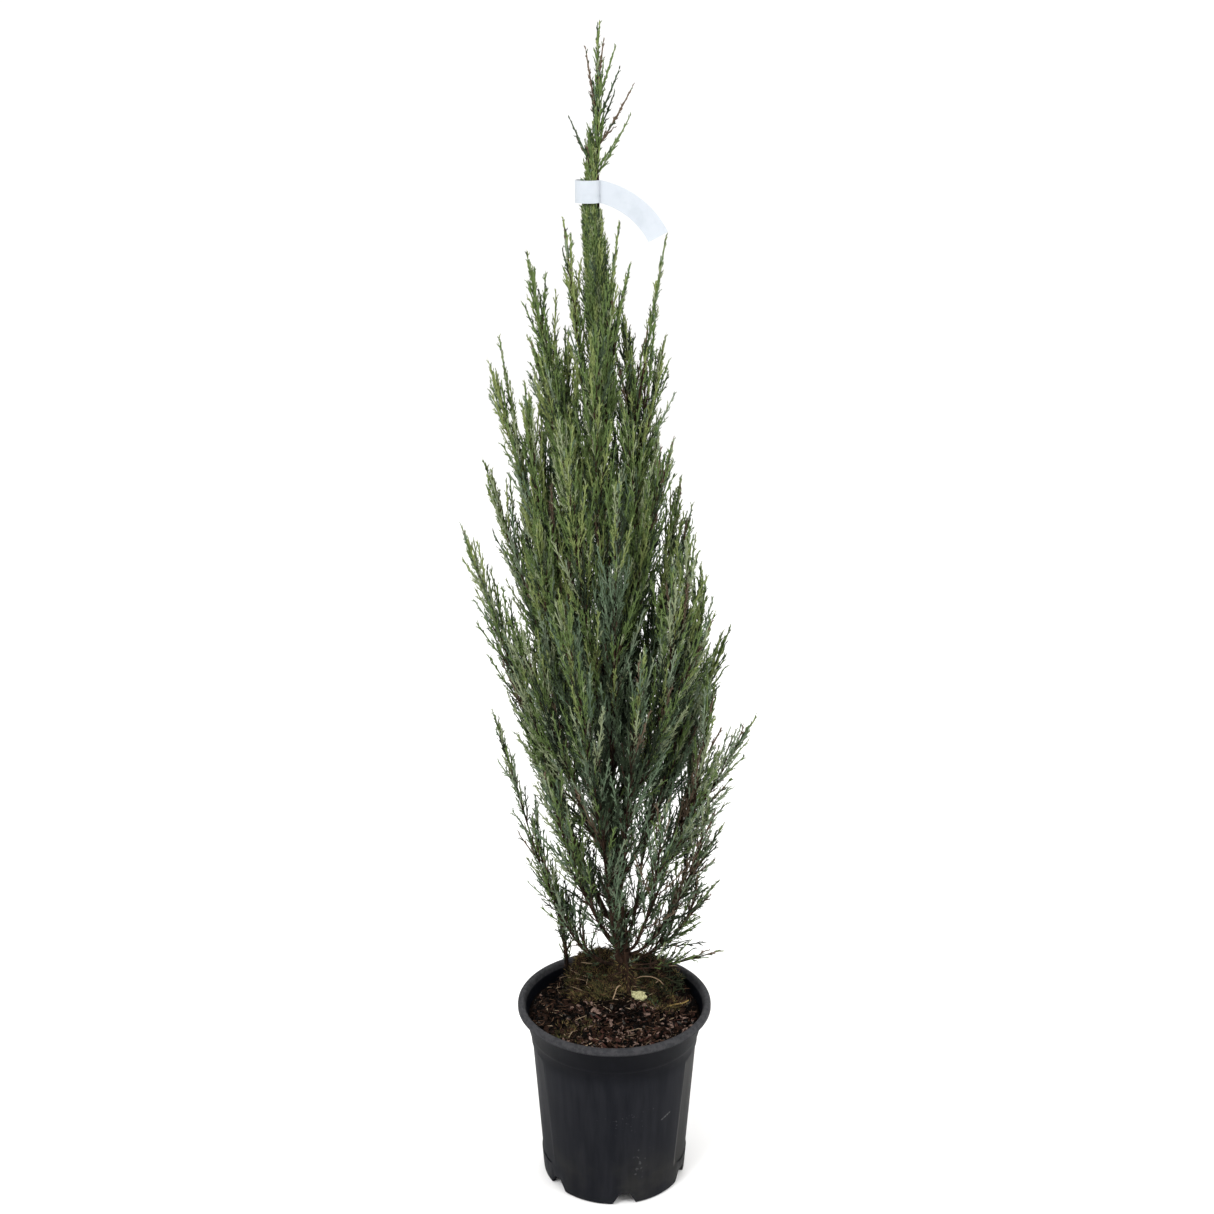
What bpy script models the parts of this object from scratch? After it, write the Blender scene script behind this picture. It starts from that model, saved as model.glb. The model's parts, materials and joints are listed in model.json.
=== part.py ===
"""A young rocky mountain juniper in a black nursery pot, with a blank loop tag round its leader.

Metres, +Z up. The origin is the middle of the pot's flat underside and the front is towards -Y.
Azimuths are in degrees from +X, turning towards +Y: 180 is the left side and 270 the front.
"""

import math
import random

import bmesh
import bpy
import numpy as np
from mathutils import Vector

GAP = 0.0003
MERGE = 0.00005
GOLDEN_ANGLE = math.radians(137.508)

# The pot is a 7.5 litre nursery container, 250 mm across its rolled lip and 250 mm high.
POT_HEIGHT = 0.250
LIP_RADIUS = 0.125
LIP_WIDTH = 0.009
LIP_DROP = 0.009
LIP_UNDERCUT = (0.0015, 0.0025)
COLLAR_TOP_RADIUS = 0.1165
COLLAR_FOOT_RADIUS = 0.1105
COLLAR_FOOT_HEIGHT = 0.205
COLLAR_STEP = 0.003
BODY_TOP_RADIUS = 0.1085
FOOT_RADIUS = 0.0935
FOOT_EDGE = 0.004
POT_WALL = 0.0022
POT_SEGMENTS = 28
CHANNEL_HEIGHT = 0.018
CHANNEL_INNER_RADIUS = 0.060
CHANNEL_SLOPE = 0.004
FOOT_RING_WIDTH = 0.0065
FOOT_RING_DRAFT = 0.001
PANEL_HALF_WIDTH = 0.056
PANEL_FOOT = 0.032
PANEL_TOP = 0.194
PANEL_DEPTH = 0.0010
PANEL_CORNER = 0.012
NOTCH_COUNT = 6
NOTCH_OFFSET = 8.0
NOTCH_FOOT_WIDTH = 0.034
NOTCH_TOP_WIDTH = 0.014
NOTCH_HEIGHT = 0.0165

# The compost stands 22 mm below the lip and rises to the mossy top of the old root ball.
SOIL_LEVEL = 0.228
HUMP_CENTRE = (0.002, 0.022)
HUMP_RADIUS = 0.088
HUMP_RISE = 0.032
RIPPLE_RISE = 0.0022
RIPPLE_WAVES = (75, 62)
RIPPLE_STARTS = (1.0, 0.5)
SOIL_RINGS = (0.0, 0.36, 0.70, 1.0)
SEAT_HEIGHT = 0.2540
SEAT_MARGIN = 0.002
SEAT_DEPTH = 0.030

# The trunk's line is a formula of the rise above its foot: an even lean to the left, and a bend to
# the right and one to the back that fade with height. FADE is the rise in which each falls to a third.
TRUNK_FOOT = SEAT_HEIGHT + GAP
TRUNK_TOP = 1.2915
TRUNK_PLACE = (-0.0065, 0.006)
TRUNK_LEAN = -0.0135
TRUNK_BEND = 0.024
TRUNK_BEND_FADE = 0.176
TRUNK_BEND_BACK = 0.009
TRUNK_BEND_BACK_FADE = 0.25

# Its radius is its tip's, plus an even taper, plus a swelling low down and the root flare.
TRUNK_TIP_RADIUS = 0.0018
TRUNK_TAPER = 0.0057
TRUNK_BUTT = 0.0045
TRUNK_BUTT_FADE = 0.090
ROOT_FLARE = 0.0030
ROOT_FLARE_FADE = 0.010
TRUNK_STATIONS = 13
STATION_CROWDING = 1.6
TRUNK_PLUMB = 0.003
TRUNK_STEP = 0.01

# The leader goes on from the trunk above the tag: its tip, its drift to the right and front, its sway.
LEADER_TIP = 1.458
LEADER_DRIFT = (0.004, -0.002)
LEADER_SWAY = 0.002
LEADER_SWAY_RATE = 6.0

# The tag is a strip 25 mm wide, looped round the leader with its ends stuck together as a tail.
TAG_WIDTH = 0.025
TAG_THICKNESS = 0.0006
TAG_HEIGHT = 1.2745
TAG_LOOP_LENGTH = 0.0275
TAG_LOOP_DEPTH = 0.019
TAG_LOOP_SIDES = 20
TAG_TAIL_LENGTH = 0.086
TAG_TAIL_DROOP = (12.0, 62.0)
TAG_TAIL_FORWARD = 0.18
TAG_TAIL_STEPS = 7
TAG_TAIL_SINK = 0.3
TAG_ROOM = 0.004
TAG_ROOM_FRONT = 0.020
TAG_ROOM_BELOW = 0.075

# Each limb: azimuth, root height, reach from the trunk's line, tip height, bow (0 straight, 1 out
# and then up) and the share of its length that is bare bough. The upper ones are all foliage.
LIMBS = {
    "left_basal": (178, 0.288, 0.143, 0.650, 0.95, 0.40),
    "right_sprig": (351, 0.284, 0.131, 0.323, 0.4, 0.52),
    "right_fan": (14, 0.294, 0.137, 0.396, 0.5, 0.40),
    "right_low": (355, 0.306, 0.143, 0.502, 0.4, 0.34),
    "front_low": (256, 0.302, 0.062, 0.640, 0.5, 0.22),
    "front_right_low": (308, 0.316, 0.118, 0.575, 0.5, 0.30),
    "front_left_low": (222, 0.330, 0.112, 0.610, 0.3, 0.30),
    "back_low": (96, 0.300, 0.128, 0.570, 0.5, 0.30),
    "back_left_low": (139, 0.314, 0.132, 0.600, 0.5, 0.30),
    "back_right_low": (52, 0.324, 0.128, 0.620, 0.4, 0.30),
    "left_far": (180, 0.360, 0.170, 0.890, 0.0, 0.32),
    "right_far": (357, 0.362, 0.185, 0.646, 0.1, 0.34),
    "right_second": (10, 0.420, 0.158, 0.751, 0.1, 0.30),
    "front_right": (296, 0.404, 0.108, 0.770, 0.2, 0.26),
    "front_left": (242, 0.440, 0.112, 0.840, 0.2, 0.26),
    "back_right": (72, 0.410, 0.140, 0.760, 0.2, 0.28),
    "back_left": (118, 0.436, 0.138, 0.820, 0.2, 0.28),
    "left_inner": (199, 0.450, 0.126, 0.800, 0.1, 0.0),
    "right_third": (332, 0.500, 0.148, 0.799, 0.1, 0.0),
    "right_fourth": (31, 0.520, 0.129, 0.896, 0.1, 0.0),
    "left_second": (173, 0.510, 0.143, 0.966, 0.0, 0.0),
    "left_third": (186, 0.610, 0.130, 1.090, 0.0, 0.0),
    "front_high_right": (284, 0.570, 0.086, 0.980, 0.2, 0.0),
    "front_high_left": (236, 0.640, 0.088, 1.050, 0.2, 0.0),
    "back_high_right": (68, 0.560, 0.112, 0.960, 0.2, 0.0),
    "back_high_left": (126, 0.600, 0.108, 1.020, 0.2, 0.0),
    "right_fifth": (345, 0.690, 0.088, 1.000, 0.1, 0.0),
    "right_sixth": (16, 0.790, 0.081, 1.113, 0.1, 0.0),
    "left_fourth": (176, 0.790, 0.083, 1.212, 0.1, 0.0),
    "front_upper": (266, 0.770, 0.056, 1.140, 0.2, 0.0),
    "back_upper": (92, 0.750, 0.078, 1.120, 0.2, 0.0),
    "right_seventh": (1, 0.880, 0.078, 1.230, 0.3, 0.0),
    "left_fifth": (196, 0.960, 0.041, 1.250, 0.2, 0.0),
    "front_top": (292, 0.960, 0.030, 1.195, 0.2, 0.0),
    "back_top": (100, 0.970, 0.034, 1.220, 0.2, 0.0),
}

# A limb's root radius is a least one plus a share of its length. Its collar and its line's start
# are in root radii, out from the trunk and up, and its bough thins by a share of its bare length.
LEAST_ROOT_RADIUS = 0.0005
LIMB_SLENDERNESS = 0.0068
STEM_TIP_RADIUS = 0.0007
COLLAR_LENGTH = 0.8
LINE_START = (1.7, 0.9)
BOUGH_THINNING = 0.55

# A limb's line is a cubic curve. Its two handles stand at these shares of its reach and its climb,
# and a full bow moves them by the second shares. It swings sideways by up to LIMB_SWAY degrees.
HANDLE_REACH = (0.18, 0.60)
HANDLE_CLIMB = (0.12, 0.58)
BOW_REACH = (0.37, 0.06)
BOW_CLIMB = (-0.09, -0.10)
LIMB_SWAY = 7.0
LIMB_SAMPLES = 40
STRAIGHT_END = 0.003
STEM_RINGS = 5
BOUGH_RINGS = 2

# Foliage: long sprays up each stem, shorter ones on some of them, and small ones at the tip. The
# first stands at SPRAY_START of the stem's length, and the long ones spread over SPRAY_SPAN of it.
SPRAY_SPACING = 0.060
SPRAYED_SHARE = 0.80
SPRAY_START = 0.04
SPRAY_SPAN = 0.66
TIP_SPRAYS = (0.74, 0.87)
STEM_STEPS = 60

# A spray's length shrinks up the stem, on short stems and where it points away from the trunk.
SPRAY_LENGTH = 0.150
SPRAY_VARIATION = (0.85, 1.10)
TIP_SHRINK = 0.60
LENGTH_LEFT = 0.84
LENGTH_SPARE = 0.006
LEAST_FULLNESS = 0.25
FULL_STEM = 0.40
OUTWARD_TRIM = 0.42
SPRAY_LEAN = (14.0, 25.0)
SIDE_SPRAY_CHANCE = 0.32
SIDE_SPRAY_PLACE = 0.36
SIDE_SPRAY_SHARE = 0.60
SIDE_SPRAY_LEAN = (22.0, 32.0)

# Its blade, with widths as shares of its length, and its teeth, with reaches as shares of the width.
SPRAY_WIDTH = 0.118
SPRAY_ROOT_WIDTH = 0.30
SPRAY_NECK = 0.22
SPRAY_FULLEST = 1.15
SPRAY_THICKNESS = 0.55
SPRAY_CURL = 0.16
TOOTH_LENGTH = 0.34
TOOTH_SPAN = 0.92
TOOTH_TIP_ROOM = 0.6
TOOTH_REACH = 1.35
NOTCH_REACH = 0.70

# The space that a spray keeps to, and the turns, facings and breadths that are tried to keep to it.
SPACE_MARGIN = 0.0020
LIMB_MARGIN = 0.0012
LIP_MARGIN = 0.003
SOIL_MARGIN = 0.004
LIP_ZONE = 0.015
STEM_SAMPLE = 0.006
LIMB_SAMPLE = 0.005
LEAST_STEM_SAMPLES = 8
LEAST_LIMB_SAMPLES = 4
SPACE_TRIES = 7
TRY_SHRINK = 0.05
FACING_SPREAD = 0.9
TURNED_FACING = 1.3
SLIM_BREADTH = 0.6

SHORT_EDGE = 0.0012
WELD = 0.000002
NEARLY_UPRIGHT = 0.9
SEED = 41

# Where a mass differs from the rest: its sprays' spacing, their share of full length, their width.
SPACINGS = {
    "leader": 0.017,
    "front_top": 0.040,
    "back_top": 0.040,
    "left_fifth": 0.040,
    "front_upper": 0.046,
}
FULLNESS = {"leader": 0.80, "left_basal": 0.70}
BREADTHS = {"leader": 0.055, "right_sprig": 0.090}


def clear_scene():
    for obj in list(bpy.data.objects):
        bpy.data.objects.remove(obj)


def collection_named(name):
    made = bpy.data.collections.new(name)
    bpy.context.scene.collection.children.link(made)
    return made


def finish_of(name, colour, roughness, metallic=0.0):
    material = bpy.data.materials.new(name)
    material.use_nodes = True
    shader = material.node_tree.nodes["Principled BSDF"]
    shader.inputs["Base Color"].default_value = (*colour, 1.0)
    shader.inputs["Roughness"].default_value = roughness
    shader.inputs["Metallic"].default_value = metallic
    return material


def object_of(name, mesh, collection, material=None):
    obj = bpy.data.objects.new(name, mesh)
    collection.objects.link(obj)
    if material:
        mesh.materials.clear()
        mesh.materials.append(material)
    return obj


def mesh_of(name, bm):
    bmesh.ops.recalc_face_normals(bm, faces=bm.faces)
    mesh = bpy.data.meshes.new(name)
    bm.to_mesh(mesh)
    bm.free()
    return mesh


def make_cutter(obj):
    obj.hide_render = True
    obj.display_type = "WIRE"


def evaluated_mesh(obj):
    """The object's mesh with its modifiers applied, in its own frame."""
    graph = bpy.context.evaluated_depsgraph_get()
    return bpy.data.meshes.new_from_object(obj.evaluated_get(graph))


def turned(name, profile, collection, material=None):
    """A profile of (radius, height) points turned about Z. It runs down the outer side."""
    bm = bmesh.new()
    points = [bm.verts.new((radius, 0, height)) for radius, height in profile]
    for first, second in zip(points, points[1:]):
        bm.edges.new((first, second))
    mesh = bpy.data.meshes.new(name)
    bm.to_mesh(mesh)
    bm.free()
    obj = object_of(name, mesh, collection, material)
    screw = obj.modifiers.new("turn", "SCREW")
    screw.axis = "Z"
    screw.steps = POT_SEGMENTS
    screw.render_steps = POT_SEGMENTS
    screw.use_merge_vertices = True
    screw.merge_threshold = MERGE
    return obj


def cut_with(obj, cutter, operation="DIFFERENCE"):
    boolean = obj.modifiers.new("cut by " + cutter.name, "BOOLEAN")
    boolean.operation = operation
    boolean.object = cutter
    boolean.solver = "EXACT"


def arc(centre_x, centre_z, radius, start, end, steps):
    """Points along an arc in a turned profile, its angles in degrees."""
    angles = [math.radians(start + (end - start) * step / steps) for step in range(steps + 1)]
    return [(centre_x + radius * math.cos(a), centre_z + radius * math.sin(a)) for a in angles]


def body_radius(height):
    """The pot's outer radius on its tapering body, below the collar."""
    share = (height - FOOT_EDGE) / (COLLAR_FOOT_HEIGHT - FOOT_EDGE)
    return FOOT_RADIUS + (BODY_TOP_RADIUS - FOOT_RADIUS) * share


def pot_inner_profile():
    """The inner wall from the middle of the floor up to the lip's inner edge."""
    floor_top = CHANNEL_HEIGHT + POT_WALL
    pad_edge = CHANNEL_INNER_RADIUS - CHANNEL_SLOPE - POT_WALL
    return [
        (0.0, POT_WALL),
        (pad_edge, POT_WALL),
        (pad_edge + CHANNEL_SLOPE, floor_top),
        (body_radius(floor_top) - POT_WALL, floor_top),
        (BODY_TOP_RADIUS - POT_WALL, COLLAR_FOOT_HEIGHT - POT_WALL),
        (COLLAR_TOP_RADIUS - POT_WALL, POT_HEIGHT - LIP_DROP),
    ]


def pot_profile():
    """The whole section: up the inside, over the lip, down the outside and under the foot."""
    lip_roll = LIP_WIDTH / 2
    lip_middle = LIP_RADIUS - lip_roll
    lip_height = POT_HEIGHT - lip_roll
    lip_foot = POT_HEIGHT - LIP_DROP
    under_out, under_down = LIP_UNDERCUT
    foot_inner = FOOT_RADIUS - FOOT_RING_WIDTH
    return [
        *pot_inner_profile(),
        *arc(lip_middle, lip_height, lip_roll, 180, 0, 3),
        (LIP_RADIUS, lip_foot),
        (COLLAR_TOP_RADIUS + under_out, lip_foot - under_down),
        (COLLAR_FOOT_RADIUS, COLLAR_FOOT_HEIGHT + COLLAR_STEP),
        (BODY_TOP_RADIUS, COLLAR_FOOT_HEIGHT),
        (FOOT_RADIUS, FOOT_EDGE),
        (FOOT_RADIUS - FOOT_EDGE / 2, 0.0),
        (foot_inner, 0.0),
        (foot_inner - FOOT_RING_DRAFT, CHANNEL_HEIGHT),
        (CHANNEL_INNER_RADIUS, CHANNEL_HEIGHT),
        (CHANNEL_INNER_RADIUS - CHANNEL_SLOPE, 0.0),
        (0.0, 0.0),
    ]


def panel_cutter(cutters):
    """A turned skin just outside the body, kept only where a rounded slab along X passes through it."""
    outside = 0.006
    inner_foot = body_radius(PANEL_FOOT - outside) - PANEL_DEPTH
    inner_top = body_radius(PANEL_TOP + outside) - PANEL_DEPTH
    profile = [
        (inner_top, PANEL_TOP + outside),
        (inner_top + outside, PANEL_TOP + outside),
        (inner_foot + outside, PANEL_FOOT - outside),
        (inner_foot, PANEL_FOOT - outside),
        (inner_top, PANEL_TOP + outside),
    ]
    skin = turned("panel_skin", profile, cutters)
    bm = bmesh.new()
    bmesh.ops.create_cube(bm, size=1)
    height = PANEL_TOP - PANEL_FOOT
    bmesh.ops.scale(bm, vec=(3 * LIP_RADIUS, 2 * PANEL_HALF_WIDTH, height), verts=bm.verts)
    bmesh.ops.translate(bm, vec=(0, 0, PANEL_FOOT + height / 2), verts=bm.verts)
    along_x = [e for e in bm.edges if abs(e.verts[0].co.x - e.verts[1].co.x) > LIP_RADIUS]
    bmesh.ops.bevel(bm, geom=along_x, offset=PANEL_CORNER, segments=3, profile=0.5, affect="EDGES")
    slab = object_of("panel_slab", mesh_of("panel_slab", bm), cutters)
    make_cutter(slab)
    make_cutter(skin)
    cut_with(skin, slab, "INTERSECT")
    return skin


def notch_cutter(cutters):
    """Wedges that cut the drainage notches out of the foot ring, wide below and narrow above."""
    below = 0.002
    outer = FOOT_RADIUS + 0.012
    inner = FOOT_RADIUS - 0.010
    bm = bmesh.new()
    for index in range(NOTCH_COUNT):
        azimuth = math.radians(NOTCH_OFFSET - 90 + index * 360 / NOTCH_COUNT)
        outward = Vector((math.cos(azimuth), math.sin(azimuth), 0))
        sideways = Vector((-outward.y, outward.x, 0))
        made = bmesh.ops.create_cube(bm, size=2)["verts"]
        for vert in made:
            top = vert.co.z > 0
            width = NOTCH_TOP_WIDTH if top else NOTCH_FOOT_WIDTH
            height = NOTCH_HEIGHT if top else -below
            radius = outer if vert.co.x > 0 else inner
            vert.co = outward * radius + sideways * vert.co.y * width / 2 + Vector((0, 0, height))
    cutter = object_of("notches", mesh_of("notches", bm), cutters)
    make_cutter(cutter)
    return cutter


def make_pot(parts, cutters):
    plastic = finish_of("black plastic", (0.022, 0.024, 0.030), 0.48)
    pot = turned("pot", pot_profile(), parts, plastic)
    cut_with(pot, panel_cutter(cutters))
    cut_with(pot, notch_cutter(cutters))
    pot.data.shade_smooth()
    return pot


def soil_height(x, y):
    """The compost's surface: a gentle ripple, and the old root ball's hump round the trunk."""
    away = math.hypot(x - HUMP_CENTRE[0], y - HUMP_CENTRE[1]) / HUMP_RADIUS
    hump = HUMP_RISE * (0.5 + 0.5 * math.cos(math.pi * min(away, 1.0)))
    across_x = math.sin(RIPPLE_WAVES[0] * x + RIPPLE_STARTS[0])
    across_y = math.cos(RIPPLE_WAVES[1] * y - RIPPLE_STARTS[1])
    return SOIL_LEVEL + hump + RIPPLE_RISE * across_x * across_y


def make_compost(parts, cutters):
    """A plug that fills the pot a hair's breadth inside its wall, its top shaped afterwards."""
    soil = finish_of("compost", (0.060, 0.040, 0.026), 0.95)
    wall = pot_inner_profile()
    inset = 2 * GAP
    sides = [(max(radius - inset, 0.0), height + inset) for radius, height in wall[:-1]]
    low, high = wall[-2:]
    brim = np.interp(SOIL_LEVEL, (low[1], high[1]), (low[0], high[0])) - 2 * inset
    top = [(brim * share, SOIL_LEVEL) for share in SOIL_RINGS]
    profile = top + list(reversed(sides))
    shape = turned("compost_shape", profile, cutters)
    mesh = evaluated_mesh(shape)
    bpy.data.objects.remove(shape)
    bm = bmesh.new()
    bm.from_mesh(mesh)
    bmesh.ops.remove_doubles(bm, verts=bm.verts, dist=MERGE)
    for vert in bm.verts:
        if vert.co.z > SOIL_LEVEL - GAP:
            vert.co.z = soil_height(vert.co.x, vert.co.y)
    compost = object_of("compost", mesh_of("compost", bm), parts, soil)
    cut_with(compost, seat_cutter(cutters))
    return compost


def seat_cutter(cutters):
    """The flat seat that the trunk's cut foot stands on, opening upwards through the hump."""
    foot = trunk_point(TRUNK_FOOT)
    seat_radius = trunk_radius(TRUNK_FOOT) + SEAT_MARGIN
    bm = bmesh.new()
    bmesh.ops.create_cone(
        bm, segments=16, radius1=seat_radius, radius2=seat_radius + SEAT_MARGIN,
        depth=SEAT_DEPTH, cap_ends=True,
    )
    bmesh.ops.translate(bm, vec=(foot.x, foot.y, SEAT_HEIGHT + SEAT_DEPTH / 2), verts=bm.verts)
    seat = object_of("trunk_seat", mesh_of("trunk_seat", bm), cutters)
    make_cutter(seat)
    return seat


def trunk_point(height):
    """The trunk's middle line: a curve at the foot that runs out into a slight lean."""
    rise = height - TRUNK_FOOT
    x, y = TRUNK_PLACE
    x += TRUNK_LEAN * rise + TRUNK_BEND * math.exp(-rise / TRUNK_BEND_FADE)
    y += TRUNK_BEND_BACK * math.exp(-rise / TRUNK_BEND_BACK_FADE)
    return Vector((x, y, height))


def trunk_radius(height):
    """The trunk's true taper, with its swollen butt and its root flare."""
    rise = height - TRUNK_FOOT
    left = max(1 - rise / (TRUNK_TOP - TRUNK_FOOT), 0.0)
    butt = TRUNK_BUTT * math.exp(-rise / TRUNK_BUTT_FADE)
    flare = ROOT_FLARE * math.exp(-rise / ROOT_FLARE_FADE)
    return TRUNK_TIP_RADIUS + TRUNK_TAPER * left + butt + flare


def limb_tube(name, points, radii, parts, material, roundness):
    """A tapering limb: a poly curve with a round bevel and closed ends."""
    curve = bpy.data.curves.new(name, "CURVE")
    curve.dimensions = "3D"
    curve.bevel_depth = radii[0]
    curve.bevel_resolution = roundness
    curve.use_fill_caps = True
    spline = curve.splines.new("POLY")
    spline.points.add(len(points) - 1)
    for slot, point, radius in zip(spline.points, points, radii):
        slot.co = (*point, 1.0)
        slot.radius = radius / radii[0]
    return object_of(name, curve, parts, material)


def make_trunk(parts, bark):
    """The trunk, from its flat cut at the compost to the leader under the tag."""
    start = TRUNK_FOOT + TRUNK_PLUMB
    shares = [(step / TRUNK_STATIONS) ** STATION_CROWDING for step in range(1, TRUNK_STATIONS + 1)]
    heights = [start + (TRUNK_TOP - start) * share for share in shares]
    foot = trunk_point(TRUNK_FOOT)
    points = [foot, foot + Vector((0, 0, TRUNK_PLUMB))] + [trunk_point(height) for height in heights]
    radii = [trunk_radius(height) for height in [TRUNK_FOOT, start, *heights]]
    return limb_tube("trunk", points, radii, parts, bark, 3)


def root_radius(name):
    """A limb's thickness where it leaves the trunk grows with its length."""
    _, root, reach, tip, _, _ = LIMBS[name]
    return LEAST_ROOT_RADIUS + LIMB_SLENDERNESS * math.hypot(reach, tip - root)


def limb_path(name):
    """Points along a limb, from its collar on the trunk to its tip, LIMB_SAMPLES steps apart."""
    azimuth, root, reach, tip, bow, _ = LIMBS[name]
    thickness = root_radius(name)
    sway = random.Random(f"{SEED} sway {name}").uniform(-LIMB_SWAY, LIMB_SWAY)
    clear = trunk_radius(root) + LINE_START[0] * thickness
    climb = tip - root
    out = [(handle + bow * shift) * reach for handle, shift in zip(HANDLE_REACH, BOW_REACH)]
    rise = [(handle + bow * shift) * climb for handle, shift in zip(HANDLE_CLIMB, BOW_CLIMB)]
    stations = [
        (clear, root + LINE_START[1] * thickness),
        (out[0] + clear / 2, root + rise[0]),
        (out[1], root + rise[1]),
        (reach, tip),
    ]
    points = []
    for step in range(LIMB_SAMPLES + 1):
        s = step / LIMB_SAMPLES
        weights = ((1 - s) ** 3, 3 * s * (1 - s) ** 2, 3 * s * s * (1 - s), s ** 3)
        radius = sum(w * station[0] for w, station in zip(weights, stations))
        height = sum(w * station[1] for w, station in zip(weights, stations))
        turn = math.radians(azimuth + sway * math.sin(math.pi * s) ** 2)
        points.append(trunk_point(height) + radius * Vector((math.cos(turn), math.sin(turn), 0)))
    turn = math.radians(azimuth)
    outward = Vector((math.cos(turn), math.sin(turn), 0))
    along = (trunk_point(root + TRUNK_STEP) - trunk_point(root - TRUNK_STEP)).normalized()
    square = (outward - along * outward.dot(along)).normalized()
    against = trunk_radius(root - thickness) + GAP
    collar_end = against + COLLAR_LENGTH * thickness
    return [trunk_point(root) + square * away for away in (against, collar_end)] + points


def leader_path():
    """The leader above the tag: it goes on from the trunk's tip and sways a little."""
    base = trunk_point(TRUNK_TOP)
    upward = (base - trunk_point(TRUNK_TOP - TRUNK_STEP)).normalized()
    length = LEADER_TIP - TRUNK_TOP
    points = [base + upward * GAP]
    for step in range(1, LIMB_SAMPLES + 1):
        share = step / LIMB_SAMPLES
        sway = LEADER_SWAY * math.sin(LEADER_SWAY_RATE * share)
        drift = Vector((LEADER_DRIFT[0] * share ** 2 + sway, LEADER_DRIFT[1] * share, 0))
        points.append(base + Vector((0, 0, length * share)) + drift * share)
    return points


def resampled(points, count):
    """Points at even steps of length along a polyline."""
    lengths = [0.0]
    for first, second in zip(points, points[1:]):
        lengths.append(lengths[-1] + (second - first).length)
    spots = np.linspace(0.0, lengths[-1], count)
    columns = [np.interp(spots, lengths, [p[axis] for p in points]) for axis in range(3)]
    return [Vector(row) for row in zip(*columns)]


def path_length(points):
    return sum((second - first).length for first, second in zip(points, points[1:]))


def split_limb(name):
    """The limb's bough and its mass's stem, face to face with a gap between, as (points, radii)."""
    bare = LIMBS[name][-1]
    path = limb_path(name)
    thickness = root_radius(name)
    count = len(path)
    cut = max(round(bare * count), 0)
    if cut == 0:
        stem = path[:2] + resampled(path[2:], STEM_RINGS)
        radii = tapered(thickness, STEM_TIP_RADIUS, len(stem))
        return None, (stem, radii)
    way = (path[cut + 1] - path[cut - 1]).normalized()
    meeting = path[cut]
    lower = resampled(path[2 : cut - 1], BOUGH_RINGS)
    bough = [*path[:2], *lower, meeting - way * STRAIGHT_END, meeting]
    upper = resampled(path[cut + 2 :], STEM_RINGS)
    stem = [meeting + way * GAP, meeting + way * STRAIGHT_END, *upper]
    meeting_radius = thickness * (1 - BOUGH_THINNING * bare)
    bough_radii = tapered(thickness, meeting_radius, len(bough))
    stem_radii = tapered(meeting_radius, STEM_TIP_RADIUS, len(stem))
    return (bough, bough_radii), (stem, stem_radii)


def tapered(start, end, count):
    return [start + (end - start) * index / (count - 1) for index in range(count)]


def across(direction):
    """Two unit vectors square to a direction and to each other."""
    direction = direction.normalized()
    reference = Vector((0, 0, 1)) if abs(direction.z) < NEARLY_UPRIGHT else Vector((1, 0, 0))
    side = direction.cross(reference).normalized()
    return side, side.cross(direction)


def lofted(name, rings, tip=None):
    """A closed mesh through rings of equal counts of points, ending in a ring or in a pointed tip."""
    bm = bmesh.new()
    loops = [[bm.verts.new(point) for point in ring] for ring in rings]
    count = len(loops[0])
    bm.faces.new(reversed(loops[0]))
    for low, high in zip(loops, loops[1:]):
        for index in range(count):
            after = (index + 1) % count
            bm.faces.new((low[index], low[after], high[after], high[index]))
    if tip is None:
        bm.faces.new(loops[-1])
    else:
        point = bm.verts.new(tip)
        for index in range(count):
            bm.faces.new((loops[-1][index], loops[-1][(index + 1) % count], point))
    bmesh.ops.triangulate(bm, faces=bm.faces)
    return mesh_of(name, bm)


def stem_mesh(name, points, radii):
    """A three-sided twig through the points, thinning towards its end."""
    turns = [math.radians(90 + 120 * corner) for corner in range(3)]
    rings = []
    for index, (point, radius) in enumerate(zip(points, radii)):
        before = points[max(index - 1, 0)]
        after = points[min(index + 1, len(points) - 1)]
        side, up = across(after - before)
        rings.append([point + radius * (math.cos(a) * side + math.sin(a) * up) for a in turns])
    return lofted(name, rings)


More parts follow.
